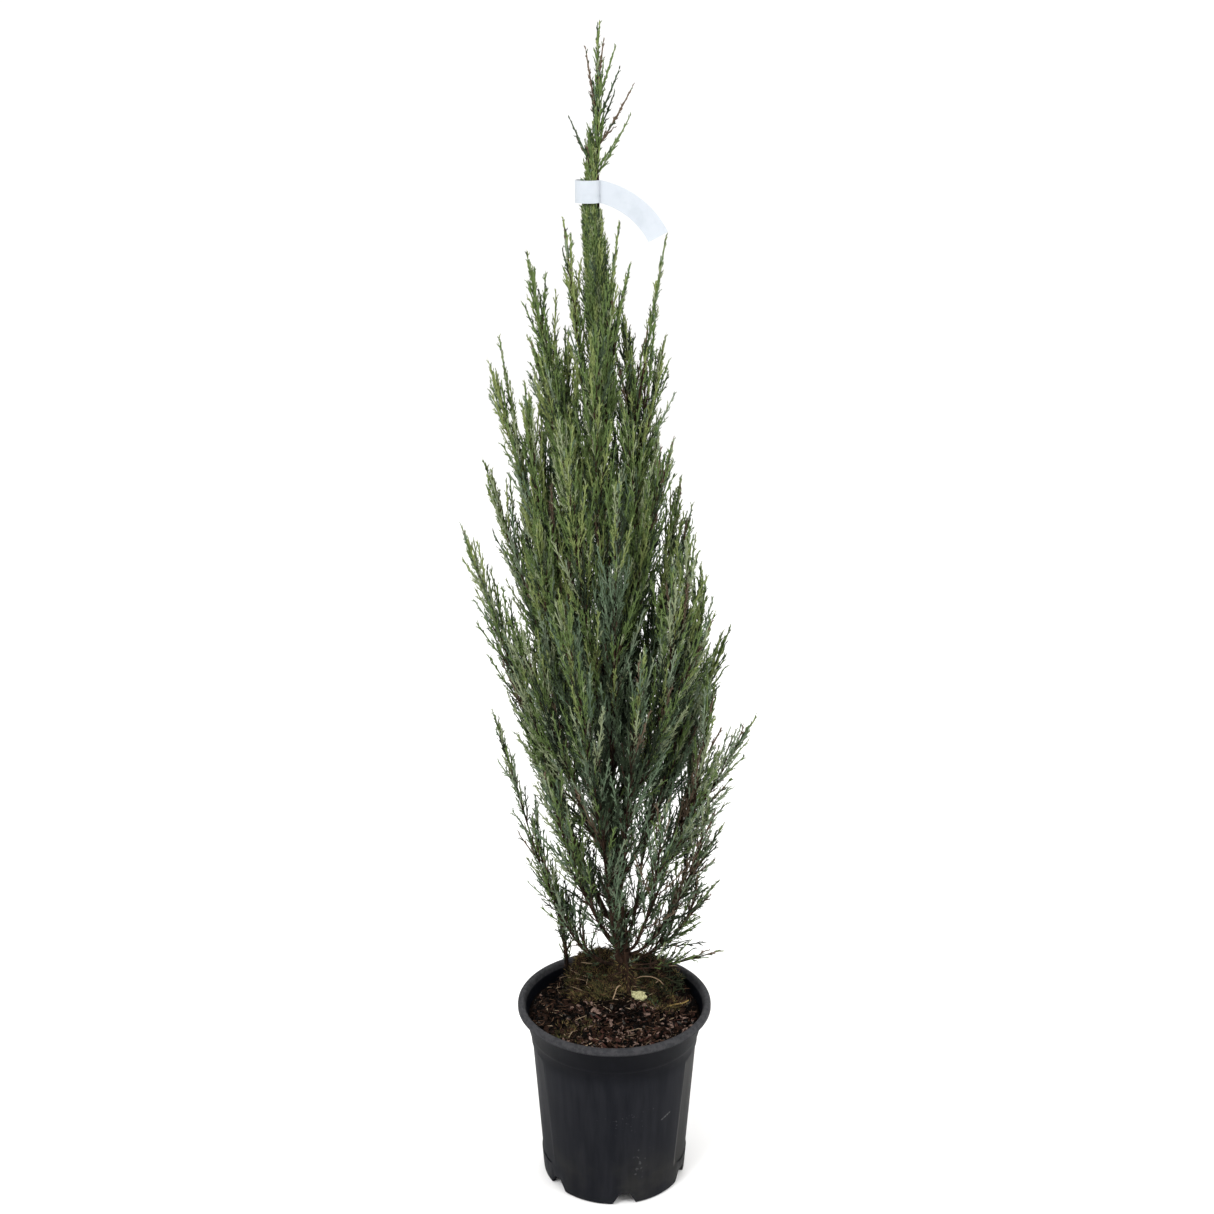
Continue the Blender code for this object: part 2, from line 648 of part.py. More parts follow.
class Spray:
    """One spray of scale leaves: a flat three-sided blade, toothed left and right by turns."""

    def __init__(self, root, way, upward, length, side, teeth, breadth):
        self.root = root
        self.way = way.normalized()
        self.upward = upward
        self.length = length
        self.side = (side - self.way * side.dot(self.way)).normalized()
        self.ridge = self.side.cross(self.way)
        self.teeth = teeth
        self.breadth = breadth

    def point(self, share):
        """A point on its middle line, which curls a little towards the stem's own direction."""
        curl = SPRAY_CURL * self.length * share * share
        return self.root + self.way * self.length * share + self.upward * curl

    def half_width(self, share):
        """Narrow at the root, widest near the middle, and narrowing to the tip."""
        swell = math.sin(math.pi * share ** SPRAY_FULLEST)
        return self.breadth * self.length * (SPRAY_NECK + (1 - SPRAY_NECK) * swell)

    def rings(self):
        """Three corners a ring: the left edge, the right edge, and the ridge between them."""
        start = SPRAY_ROOT_WIDTH * self.half_width(0.4)
        made = [[self.root + way * start for way in (-self.side, self.side, self.ridge)]]
        for index in range(1, self.teeth + 1):
            share = TOOTH_SPAN * index / (self.teeth + TOOTH_TIP_ROOM)
            width = self.half_width(share)
            forward = self.way * self.length * TOOTH_LENGTH / self.teeth
            middle = self.point(share)
            hand = 1 if index % 2 else -1
            tooth = middle - self.side * hand * width * TOOTH_REACH + forward
            notch = middle + self.side * hand * width * NOTCH_REACH
            ridge = middle + self.ridge * width * SPRAY_THICKNESS
            made.append([tooth, notch, ridge] if hand > 0 else [notch, tooth, ridge])
        return made

    def corners(self):
        """Its tip, its corners past the root, and the middles of its long edges."""
        rings = self.rings()
        tip = self.point(1.0)
        found = [tip]
        for ring, after in zip(rings, rings[1:] + [[tip] * 3]):
            found += [(corner + beyond) / 2 for corner, beyond in zip(ring, after)]
        for ring in rings[1:]:
            found += ring
        return found

    def mesh(self, name):
        return lofted(name, self.rings(), self.point(1.0))


class Crown:
    """The space shared by the limbs: each point belongs to the mass whose stem is nearest."""

    def __init__(self):
        self.stems = {}
        self.others = {}
        self.solid_points = []
        self.solid_radii = []

    def add_stem(self, name, points):
        count = max(round(path_length(points) / STEM_SAMPLE), LEAST_STEM_SAMPLES)
        self.stems[name] = np.array(resampled(points, count))

    def add_limb(self, points, radii):
        lengths = np.cumsum([0.0] + [(b - a).length for a, b in zip(points, points[1:])])
        count = max(round(lengths[-1] / LIMB_SAMPLE), LEAST_LIMB_SAMPLES)
        self.solid_points.append(np.array(resampled(points, count)))
        self.solid_radii.append(np.interp(np.linspace(0, lengths[-1], count), lengths, radii))

    def settle(self):
        """Called when every stem and limb is known."""
        self.solid_points = np.concatenate(self.solid_points)
        self.solid_radii = np.concatenate(self.solid_radii)
        for owner in self.stems:
            rest = [samples for name, samples in self.stems.items() if name != owner]
            self.others[owner] = np.concatenate(rest)
        self.tag_low, self.tag_high = tag_space()

    def holds(self, owner, corners):
        """Whether corners stay in their owner's space, clear of the limbs, pot, compost and tag."""
        spots = np.array(corners)
        own = distances(spots, self.stems[owner]).min(axis=1)
        other = distances(spots, self.others[owner]).min(axis=1)
        if (other < own + SPACE_MARGIN).any():
            return False
        clear = (distances(spots, self.solid_points) - self.solid_radii).min(axis=1)
        if clear.min() < LIMB_MARGIN:
            return False
        if ((spots > self.tag_low) & (spots < self.tag_high)).all(axis=1).any():
            return False
        return all(height > floor_under(x, y) for x, y, height in spots)


def distances(spots, samples):
    """Every spot's distance to every sample, as a table."""
    return np.linalg.norm(spots[:, None] - samples[None], axis=2)


def floor_under(x, y):
    """The lowest height that foliage may hang to: over the pot's lip or over the compost."""
    if math.hypot(x, y) > LIP_RADIUS - LIP_ZONE:
        return POT_HEIGHT + LIP_MARGIN
    return soil_height(x, y) + SOIL_MARGIN


def tag_space():
    """The box that the tag's loop and tail lie in, with a little room round it."""
    hold = trunk_point(TAG_HEIGHT)
    left = hold.x - TAG_LOOP_LENGTH - TAG_ROOM
    right = hold.x + TAG_TAIL_LENGTH + TAG_ROOM
    back = hold.y + TAG_LOOP_DEPTH / 2 + TAG_ROOM
    front = hold.y - TAG_LOOP_DEPTH / 2 - TAG_ROOM - TAG_ROOM_FRONT
    top = TAG_HEIGHT + TAG_WIDTH / 2 + TAG_ROOM
    return (left, front, TAG_HEIGHT - TAG_ROOM_BELOW), (right, back, top)


def sprays_of(name, stem, crown):
    """The sprays of one mass by its seeded rule: long ones up the stem and small ones at its tip."""
    draw = random.Random(f"{SEED} sprays {name}")
    length = path_length(stem)
    fine = resampled(stem, STEM_STEPS)
    spacing = SPACINGS.get(name, SPRAY_SPACING)
    count = max(round(SPRAYED_SHARE * length / spacing), 3)
    places = [(SPRAY_START + SPRAY_SPAN * index / count, 3) for index in range(count)]
    places += [(share, 2) for share in TIP_SPRAYS]
    fullness = FULLNESS.get(name, min(1.0, LEAST_FULLNESS + length / FULL_STEM))
    turn = draw.uniform(0, math.tau)
    made = []
    for share, teeth in places:
        spot = min(round(share * (STEM_STEPS - 1)), STEM_STEPS - 3)
        way = (fine[spot + 2] - fine[max(spot - 1, 0)]).normalized()
        turn += GOLDEN_ANGLE
        reach = draw.uniform(*SPRAY_VARIATION) * SPRAY_LENGTH * (1.0 - TIP_SHRINK * share) * fullness
        reach = min(reach, (1.0 - share) * length * LENGTH_LEFT + LENGTH_SPARE)
        spray = fitted(name, fine[spot], way, SPRAY_LEAN, turn, reach, teeth, draw, crown)
        if spray is None:
            continue
        made.append(spray)
        if teeth == 3 and draw.random() < SIDE_SPRAY_CHANCE:
            reach = spray.length * SIDE_SPRAY_SHARE
            start = draw.uniform(0, math.tau)
            root = spray.point(SIDE_SPRAY_PLACE)
            side = fitted(name, root, spray.way, SIDE_SPRAY_LEAN, start, reach, 2, draw, crown)
            if side is not None:
                made.append(side)
    return made


def fitted(name, root, way, leans, turn, reach, teeth, draw, crown):
    """A spray that leaves root near the wanted turn about way, shortened until its space holds it."""
    lean = math.radians(draw.uniform(*leans))
    tilt = draw.uniform(-FACING_SPREAD, FACING_SPREAD)
    facings = ((tilt, 1.0), (tilt + TURNED_FACING, 1.0), (tilt, SLIM_BREADTH))
    side, up = across(way)
    outward = root - trunk_point(root.z)
    outward.z = 0
    outward = outward.normalized() if outward.length > 0.001 else Vector((0, -1, 0))
    around = Vector((-outward.y, outward.x, 0))
    for attempt in range(SPACE_TRIES):
        azimuth = turn + attempt * math.tau / SPACE_TRIES
        sideways = side * math.cos(azimuth) + up * math.sin(azimuth)
        leaning = way * math.cos(lean) + sideways * math.sin(lean)
        trim = 1.0 - OUTWARD_TRIM * max(sideways.dot(outward), 0.0)
        length = reach * (1.0 - TRY_SHRINK * attempt) * trim
        for facing, slimming in facings:
            edge = around * math.cos(facing) + outward * math.sin(facing)
            breadth = slimming * BREADTHS.get(name, SPRAY_WIDTH)
            spray = Spray(root, leaning, way, length, edge, teeth, breadth)
            if crown.holds(name, spray.corners()):
                return spray
    return None


def joined(stem, pieces, workshop, name):
    """The stem and its sprays as one closed body, by one Boolean union on their collection.

    Where no union is sound, the one spray that spoils it is left out.
    """
    base = object_of(name + "_stem", stem, workshop)
    group = collection_named(name + "_sprays")
    for index, mesh in enumerate(pieces):
        object_of(f"{name}_spray_{index}", mesh, group)
    union = base.modifiers.new("join", "BOOLEAN")
    union.operation = "UNION"
    union.operand_type = "COLLECTION"
    union.collection = group
    mesh = union_of(base, union)
    sprays = list(group.objects)
    for spray in reversed(sprays):
        if mesh is not None:
            break
        group.objects.unlink(spray)
        mesh = union_of(base, union)
        group.objects.link(spray)
    for obj in sprays:
        bpy.data.objects.remove(obj)
    bpy.data.collections.remove(group)
    bpy.data.objects.remove(base)
    return mesh


def union_of(base, union):
    """The union as one sound body, without its slivers where it stays sound, or None."""
    for solver in ("EXACT", "MANIFOLD"):
        union.solver = solver
        whole = largest_body(evaluated_mesh(base))
        for mesh in (simplified(whole), whole):
            if is_sound(mesh):
                return mesh
    return None


def bodies_of(bm):
    """The connected bodies of a mesh as lists of faces, the smallest first."""
    unseen = set(bm.faces)
    bodies = []
    while unseen:
        body = [unseen.pop()]
        for face in body:
            for edge in face.edges:
                neighbours = [near for near in edge.link_faces if near in unseen]
                unseen.difference_update(neighbours)
                body += neighbours
        bodies.append(body)
    return sorted(bodies, key=len)


def largest_body(mesh):
    """The biggest connected body of a mesh: loose scraps and walls of sealed hollows are dropped."""
    bm = bmesh.new()
    bm.from_mesh(mesh)
    bmesh.ops.remove_doubles(bm, verts=bm.verts, dist=WELD)
    for body in bodies_of(bm)[:-1]:
        bmesh.ops.delete(bm, geom=body, context="FACES")
    bmesh.ops.delete(bm, geom=[vert for vert in bm.verts if not vert.link_faces], context="VERTS")
    bmesh.ops.triangulate(bm, faces=bm.faces)
    made = bpy.data.meshes.new(mesh.name)
    bm.to_mesh(made)
    bm.free()
    return made


def simplified(mesh):
    """The mesh without the slivers and the very short edges that a union leaves."""
    bm = bmesh.new()
    bm.from_mesh(mesh)
    bmesh.ops.dissolve_degenerate(bm, dist=SHORT_EDGE, edges=bm.edges)
    bmesh.ops.triangulate(bm, faces=bm.faces)
    bmesh.ops.dissolve_degenerate(bm, dist=4 * WELD, edges=bm.edges)
    bmesh.ops.triangulate(bm, faces=bm.faces)
    bmesh.ops.recalc_face_normals(bm, faces=bm.faces)
    made = bpy.data.meshes.new(mesh.name)
    bm.to_mesh(made)
    bm.free()
    return made


def is_sound(mesh):
    """Whether a mesh is one closed body."""
    bm = bmesh.new()
    bm.from_mesh(mesh)
    bmesh.ops.remove_doubles(bm, verts=bm.verts, dist=2 * WELD)
    closed = all(edge.is_manifold and edge.is_contiguous for edge in bm.edges)
    sound = closed and all(vert.is_manifold for vert in bm.verts) and len(bodies_of(bm)) == 1
    bm.free()
    return sound


def make_mass(name, stem, radii, crown, parts, workshop, leaves):
    """One mass of foliage: a stem with its sprays sunk well into it, as a single solid."""
    pieces = [spray.mesh(name + "_blade") for spray in sprays_of(name, stem, crown)]
    mesh = joined(stem_mesh(name + "_stem", stem, radii), pieces, workshop, name)
    mesh.name = "mass_" + name
    return object_of("mass_" + name, mesh, parts, leaves)


def tag_tail_mesh(start):
    """The tail: a thin strip that leaves the loop to the right and droops, bent like an arc."""
    first, last = TAG_TAIL_DROOP
    rings = []
    spot = Vector(start)
    for index in range(TAG_TAIL_STEPS + 1):
        share = index / TAG_TAIL_STEPS
        angle = math.radians(first + (last - first) * share)
        way = Vector((math.cos(angle), -TAG_TAIL_FORWARD * share, -math.sin(angle))).normalized()
        upward = Vector((math.sin(angle), 0, math.cos(angle))) if index else Vector((0, 0, 1))
        outward = way.cross(upward).normalized()
        half = upward * TAG_WIDTH / 2
        thin = outward * TAG_THICKNESS / 2
        rings.append([spot - half - thin, spot + half - thin, spot + half + thin, spot - half + thin])
        spot = spot + way * TAG_TAIL_LENGTH / TAG_TAIL_STEPS
    return lofted("tag_tail", rings)


def make_tag(parts, workshop):
    """The tag's loop is an oval ring, its right end just clear of the leader, with the tail fused on."""
    paper = finish_of("white label", (0.82, 0.84, 0.86), 0.45)
    hold = trunk_point(TAG_HEIGHT)
    inner_right = hold.x + trunk_radius(TAG_HEIGHT - TAG_WIDTH / 2) + GAP
    middle = inner_right - TAG_LOOP_LENGTH / 2
    bm = bmesh.new()
    loops = []
    for grow, height in ((0.0, -1), (TAG_THICKNESS, -1), (TAG_THICKNESS, 1), (0.0, 1)):
        ring = []
        for index in range(TAG_LOOP_SIDES):
            turn = math.tau * index / TAG_LOOP_SIDES
            x = middle + (TAG_LOOP_LENGTH / 2 + grow) * math.cos(turn)
            y = hold.y + (TAG_LOOP_DEPTH / 2 + grow) * math.sin(turn)
            ring.append(bm.verts.new((x, y, TAG_HEIGHT + height * TAG_WIDTH / 2)))
        loops.append(ring)
    for low, high in zip(loops, loops[1:] + loops[:1]):
        for index in range(TAG_LOOP_SIDES):
            after = (index + 1) % TAG_LOOP_SIDES
            bm.faces.new((low[index], low[after], high[after], high[index]))
    loop = mesh_of("tag_loop", bm)
    tail = tag_tail_mesh((inner_right + TAG_THICKNESS * TAG_TAIL_SINK, hold.y, TAG_HEIGHT + GAP))
    mesh = joined(loop, [tail], workshop, "tag")
    mesh.name = "plant_tag"
    return object_of("plant_tag", mesh, parts, paper)


def main():
    clear_scene()
    parts = collection_named("rocky mountain juniper")
    cutters = collection_named("cutters")
    workshop = collection_named("workshop")
    bark = finish_of("bark", (0.155, 0.085, 0.050), 0.90)
    leaves = finish_of("scale leaves", (0.060, 0.125, 0.060), 0.65)

    make_pot(parts, cutters)
    make_compost(parts, cutters)
    make_trunk(parts, bark)
    make_tag(parts, workshop)

    crown = Crown()
    trunk_heights = np.linspace(TRUNK_FOOT, TRUNK_TOP, STEM_STEPS + 1)
    crown.add_limb(
        [trunk_point(height) for height in trunk_heights],
        [trunk_radius(height) for height in trunk_heights],
    )
    stems = {}
    for name in LIMBS:
        bough, stem = split_limb(name)
        if bough:
            points, radii = bough
            limb_tube("bough_" + name, points, radii, parts, bark, 1)
            crown.add_limb(points, radii)
        stems[name] = stem
    leader = resampled(leader_path(), STEM_RINGS + 1)
    stems["leader"] = (leader, tapered(trunk_radius(TRUNK_TOP), STEM_TIP_RADIUS, len(leader)))
    for name, (points, _) in stems.items():
        crown.add_stem(name, points)
    crown.settle()
    for name, (points, radii) in stems.items():
        make_mass(name, points, radii, crown, parts, workshop, leaves)


main()
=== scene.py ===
"""The look of a young rocky mountain juniper in a black nursery pot, with a blank loop tag.

Metres, +Z up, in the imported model's own frame: the origin is the middle of the pot's underside,
-Y is the front and +X the right. Each section makes one piece, or one group of like pieces.
"""
import json
import math
import random
from collections import namedtuple

import bmesh
import bpy
import numpy as np
from mathutils import Matrix, Vector, noise

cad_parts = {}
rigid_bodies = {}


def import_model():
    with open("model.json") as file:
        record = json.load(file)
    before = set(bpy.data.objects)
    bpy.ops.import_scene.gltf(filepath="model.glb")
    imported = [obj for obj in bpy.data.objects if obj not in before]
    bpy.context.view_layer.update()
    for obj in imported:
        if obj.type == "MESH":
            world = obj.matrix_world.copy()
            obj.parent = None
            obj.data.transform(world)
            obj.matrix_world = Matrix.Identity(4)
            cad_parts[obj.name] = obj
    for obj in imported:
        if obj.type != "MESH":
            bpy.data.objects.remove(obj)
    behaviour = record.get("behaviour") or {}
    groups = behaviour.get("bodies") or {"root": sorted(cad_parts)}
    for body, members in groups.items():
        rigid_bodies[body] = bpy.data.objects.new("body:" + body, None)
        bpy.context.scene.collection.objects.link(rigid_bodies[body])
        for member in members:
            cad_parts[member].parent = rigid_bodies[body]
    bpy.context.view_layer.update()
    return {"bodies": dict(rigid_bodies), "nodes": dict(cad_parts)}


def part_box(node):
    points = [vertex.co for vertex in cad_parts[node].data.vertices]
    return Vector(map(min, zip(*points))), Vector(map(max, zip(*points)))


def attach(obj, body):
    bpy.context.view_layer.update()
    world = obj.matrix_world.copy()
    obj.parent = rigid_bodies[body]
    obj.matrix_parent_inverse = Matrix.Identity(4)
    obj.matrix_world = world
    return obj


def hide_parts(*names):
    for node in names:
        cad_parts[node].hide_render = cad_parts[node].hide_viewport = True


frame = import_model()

# The pot is a turned shell of dull black plastic, drawn up ring by ring: a notched foot ring round a
# raised channel, a tapering body with a shallow panel on each side, a collar, and a rolled lip.
BODY = list(frame["bodies"])[0]
POT_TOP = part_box("pot")[1]
POT_HEIGHT = POT_TOP.z
LIP_RADIUS = POT_TOP.x
LIP_ROLL = 0.0045
LIP_FOOT = POT_HEIGHT - 0.009
COLLAR_TOP_RADIUS = 0.1165
COLLAR_FOOT_RADIUS = 0.1105
COLLAR_FOOT_HEIGHT = 0.205
BODY_TOP_RADIUS = 0.1085
FOOT_RADIUS = 0.0935
FOOT_ROUND = 0.004
POT_WALL = 0.0022
POT_SIDES = 144
PAD_RADIUS = 0.056
CHANNEL_RADIUS = 0.060
CHANNEL_HEIGHT = 0.018
FOOT_RING_WIDTH = 0.0065
PANEL_FOOT = 0.032
PANEL_TOP = 0.194
PANEL_HALF_WIDTH = 0.056
PANEL_CORNER = 0.014
PANEL_DEPTH = 0.0012
NOTCH_COUNT = 6
NOTCH_OFFSET = math.radians(8.0 - 90.0)
NOTCH_FOOT_WIDTH = 0.034
NOTCH_TOP_WIDTH = 0.014
NOTCH_HEIGHT = 0.0165
EDGE_ROUND = 0.0005


class Value:
    """One output in a material. Its operators add the Math nodes that they stand for."""

    def __init__(self, finish, output):
        self.finish = finish
        self.output = output

    def maths(self, operation, *others):
        return self.finish.node("Math", {"operation": operation}, dict(enumerate((self, *others))))

    def __add__(self, other):
        return self.maths("ADD", other)

    def __mul__(self, other):
        return self.maths("MULTIPLY", other)

    def __sub__(self, other):
        return self.maths("SUBTRACT", other)

    def __rsub__(self, other):
        return self.finish.node("Math", {"operation": "SUBTRACT"}, {0: other, 1: self})

    def __abs__(self):
        return self.maths("ABSOLUTE")

    __radd__ = __add__
    __rmul__ = __mul__

    def rising(self, low, high):
        """0 below low, 1 above high, and smooth between."""
        return self.finish.node("MapRange", {"interpolation_type": "SMOOTHSTEP"}, {0: self, 1: low, 2: high})


class Finish:
    """One material: its plain values are set first, and its nodes are added by node()."""

    def __init__(self, name, roughness, gloss, tint=(0.8, 0.8, 0.8)):
        self.material = bpy.data.materials.new(name)
        self.material.use_nodes = True
        self.tree = self.material.node_tree
        self.feed("Roughness", roughness)
        self.feed("Specular IOR Level", gloss)
        self.feed("Base Color", tint)

    def node(self, kind, settings, inputs, output=0):
        made = self.tree.nodes.new("ShaderNode" + kind)
        for setting, value in settings.items():
            setattr(made, setting, value)
        for socket, value in inputs.items():
            self.join(made.inputs[socket], value)
        return Value(self, made.outputs[output])

    def join(self, socket, value):
        if isinstance(value, Value):
            self.tree.links.new(value.output, socket)
        else:
            socket.default_value = (*value, 1.0) if socket.type == "RGBA" else value

    def feed(self, socket, value):
        self.join(self.tree.nodes["Principled BSDF"].inputs[socket], value)

    def place(self):
        return self.node("TexCoord", {}, {}, "Object")

    def axis(self, name):
        return self.node("SeparateXYZ", {}, {0: self.place()}, name)

    def grain(self, scale, detail, roughness, stretch=(1.0, 1.0, 1.0)):
        """Noise from about 0 to 1 at so many features a metre."""
        spot = self.node("Mapping", {}, {"Vector": self.place(), "Scale": stretch})
        inputs = {"Vector": spot, "Scale": scale, "Detail": detail, "Roughness": roughness}
        return self.node("TexNoise", {}, inputs)

    def look(self, base, coats, relief, depth, strength):
        """Feeds a base colour under coats of (share, tint), and a relief of a depth in metres."""
        for share, tint in coats:
            base = self.node("Mix", {"data_type": "RGBA"}, {0: share, 6: base, 7: tint}, 2)
        self.feed("Base Color", base)
        bump = self.node("Bump", {}, {"Height": relief, "Distance": depth, "Strength": strength})
        self.feed("Normal", bump)


def painted(obj, finish, slot, *nodes):
    """Gives a finished piece its material and its body, and hides the nodes that it stands for. The slot is
    not used.
    """
    obj.data.materials.clear()
    obj.data.materials.append(finish.material)
    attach(obj, BODY)
    if nodes:
        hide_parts(*nodes)
    return obj


def added(primitive, **settings):
    """A new primitive, with all else deselected."""
    bpy.ops.object.select_all(action="DESELECT")
    primitive(**settings)
    return bpy.context.object


def linked(name, data):
    """A new object in the scene."""
    obj = bpy.data.objects.new(name, data)
    bpy.context.scene.collection.objects.link(obj)
    return obj


def picked(obj):
    """Selects one object alone and makes it the active one."""
    bpy.ops.object.select_all(action="DESELECT")
    obj.select_set(True)
    bpy.context.view_layer.objects.active = obj


def apply_modifier(obj, kind, **settings):
    picked(obj)
    made = obj.modifiers.new(kind.lower(), kind)
    for setting, value in settings.items():
        setattr(made, setting, value)
    bpy.ops.object.modifier_apply(modifier=made.name)


def cut(obj, cutter):
    apply_modifier(obj, "BOOLEAN", object=cutter, operation="DIFFERENCE", solver="EXACT")
    bpy.data.objects.remove(cutter)


def leave_edit():
    bpy.ops.object.mode_set(mode="OBJECT")


def body_radius(height):
    share = (height - FOOT_ROUND) / (COLLAR_FOOT_HEIGHT - FOOT_ROUND)
    return FOOT_RADIUS + (BODY_TOP_RADIUS - FOOT_RADIUS) * share


def arc(middle, radius, start, end, steps):
    """Points of an outline on an arc about (radius, height), its angles in degrees."""
    turns = [math.radians(start + (end - start) * step / steps) for step in range(steps + 1)]
    return [(middle[0] + radius * math.cos(turn), middle[1] + radius * math.sin(turn)) for turn in turns]


def ring_by_ring(outline):
    """Extrudes the open ring in edit mode from point to point of an outline, and resizes it."""
    for (radius, height), (wider, higher) in zip(outline, outline[1:]):
        bpy.ops.mesh.extrude_edges_move(TRANSFORM_OT_translate={"value": (0, 0, higher - height)})
        bpy.ops.transform.resize(value=(wider / radius, wider / radius, 1), center_override=(0, 0, higher))


def drawn_up(name, outline, sides):
    """A turned shell, its two ends filled."""
    obj = added(bpy.ops.mesh.primitive_circle_add, vertices=sides, radius=outline[0][0], enter_editmode=True)
    bpy.ops.transform.translate(value=(0, 0, outline[0][1]))
    ring_by_ring(outline)
    bpy.ops.mesh.edge_face_add()
    bpy.ops.mesh.select_all(action="DESELECT")
    bpy.ops.mesh.select_non_manifold()
    bpy.ops.mesh.edge_face_add()
    bpy.ops.mesh.select_all(action="SELECT")
    bpy.ops.mesh.normals_make_consistent(inside=False)
    leave_edit()
    obj.name = name
    return obj


def pot_outline():
    """From the pad's edge out under the foot, up the outside, over the lip and down the inside."""
    lip_middle = (LIP_RADIUS - LIP_ROLL, POT_HEIGHT - LIP_ROLL)
    ring_inner = FOOT_RADIUS - FOOT_RING_WIDTH
    floor = CHANNEL_HEIGHT + POT_WALL
    pad_edge = PAD_RADIUS - POT_WALL
    return [
        (PAD_RADIUS, 0.0), (CHANNEL_RADIUS, CHANNEL_HEIGHT),
        (ring_inner - 0.001, CHANNEL_HEIGHT), (ring_inner, 0.0),
        *arc((FOOT_RADIUS - FOOT_ROUND, FOOT_ROUND), FOOT_ROUND, -90, 0, 4),
        (body_radius(PANEL_FOOT), PANEL_FOOT), (body_radius(PANEL_TOP), PANEL_TOP),
        (BODY_TOP_RADIUS, COLLAR_FOOT_HEIGHT), (BODY_TOP_RADIUS + 0.0007, COLLAR_FOOT_HEIGHT + 0.0013),
        (COLLAR_FOOT_RADIUS, COLLAR_FOOT_HEIGHT + 0.0055), (COLLAR_TOP_RADIUS, LIP_FOOT - 0.0030),
        (COLLAR_TOP_RADIUS + 0.0010, LIP_FOOT - 0.0016), (LIP_RADIUS - 0.0012, LIP_FOOT - 0.0004),
        (LIP_RADIUS, LIP_FOOT + 0.0008),
        *arc(lip_middle, LIP_ROLL, 0, 180, 8),
        (COLLAR_TOP_RADIUS - POT_WALL, LIP_FOOT), (BODY_TOP_RADIUS - POT_WALL, COLLAR_FOOT_HEIGHT - POT_WALL),
        (body_radius(floor) - POT_WALL, floor), (pad_edge + 0.004, floor), (pad_edge, POT_WALL),
    ]


def block(size, middle, kind, wanted):
    """A box in edit mode. Those of its edges or faces that are wanted are selected."""
    box = added(bpy.ops.mesh.primitive_cube_add, size=1, enter_editmode=True)
    bpy.ops.transform.resize(value=size)
    bpy.ops.transform.translate(value=middle)
    cage = bmesh.from_edit_mesh(box.data)
    for part in getattr(cage, kind):
        part.select = wanted(part)
    cage.select_flush_mode()
    bmesh.update_edit_mesh(box.data)
    return box


def panel_cutter():
    """A slab with rounded corners, less the body's core: what is left cuts both side panels."""
    height = PANEL_TOP - PANEL_FOOT
    middle = (0, 0, PANEL_FOOT + height / 2)
    slab = block(
        (2.4 * LIP_RADIUS, 2 * PANEL_HALF_WIDTH, height), middle, "edges",
        lambda edge: abs(edge.verts[0].co.x - edge.verts[1].co.x) > LIP_RADIUS,
    )
    bpy.ops.mesh.bevel(offset=PANEL_CORNER, segments=6, affect="EDGES")
    leave_edit()
    spare = 0.004
    low, high = (body_radius(end) - PANEL_DEPTH for end in (PANEL_FOOT - spare, PANEL_TOP + spare))
    core = added(
        bpy.ops.mesh.primitive_cone_add, vertices=POT_SIDES, radius1=low, radius2=high,
        depth=height + 2 * spare, location=middle,
    )
    cut(slab, core)
    return slab


def notch_cutter():
    """One wedge, wide below and narrow above, copied round the foot."""
    below = 0.002
    height = NOTCH_HEIGHT + below
    wedge = block(
        (0.022, NOTCH_FOOT_WIDTH, height), (FOOT_RADIUS + 0.001, 0, height / 2 - below), "faces",
        lambda face: face.normal.z > 0.5,
    )
    narrower = NOTCH_TOP_WIDTH / NOTCH_FOOT_WIDTH
    bpy.ops.transform.resize(value=(1, narrower, 1), center_override=(FOOT_RADIUS, 0, NOTCH_HEIGHT))
    leave_edit()
    wedges = [wedge, *(linked("notch", wedge.data.copy()) for _ in range(1, NOTCH_COUNT))]
    for index, obj in enumerate(wedges):
        obj.data.transform(Matrix.Rotation(NOTCH_OFFSET + index * math.tau / NOTCH_COUNT, 4, "Z"))
        obj.select_set(True)
    bpy.context.view_layer.objects.active = wedge
    bpy.ops.object.join()
    return wedge


pot = drawn_up("pot_shell", pot_outline(), POT_SIDES)
cut(pot, panel_cutter())
cut(pot, notch_cutter())
apply_modifier(pot, "BEVEL", width=EDGE_ROUND, segments=2, limit_method="ANGLE", angle_limit=math.radians(28))
pot.data.shade_smooth()
pot.data.set_sharp_from_angle(angle=math.radians(40))

plastic = Finish("black pot plastic", 0.5, 0.045)
height = plastic.axis("Z")
streaks = plastic.grain(60, 4, 0.6, (1, 1, 0.07))
blotches = plastic.grain(14, 4, 0.6)
speckle = plastic.grain(900, 2, 0.5)
mottle = plastic.grain(160, 4, 0.65)


def rubbed(middle, length, width, lean):
    """A pale mark on the front: its middle, length and width in metres, and its lean in radians."""
    across = plastic.axis("X") - middle[0]
    upward = height - middle[1]
    along = abs(across * math.cos(lean) + upward * math.sin(lean))
    off = abs(upward * math.cos(lean) - across * math.sin(lean))
    front = 1 - plastic.axis("Y").rising(-0.02, 0.0)
    shape = (1 - along.rising(0.35 * length, 0.5 * length)) * (1 - off.rising(0.2 * width, 0.5 * width))
    return shape * front


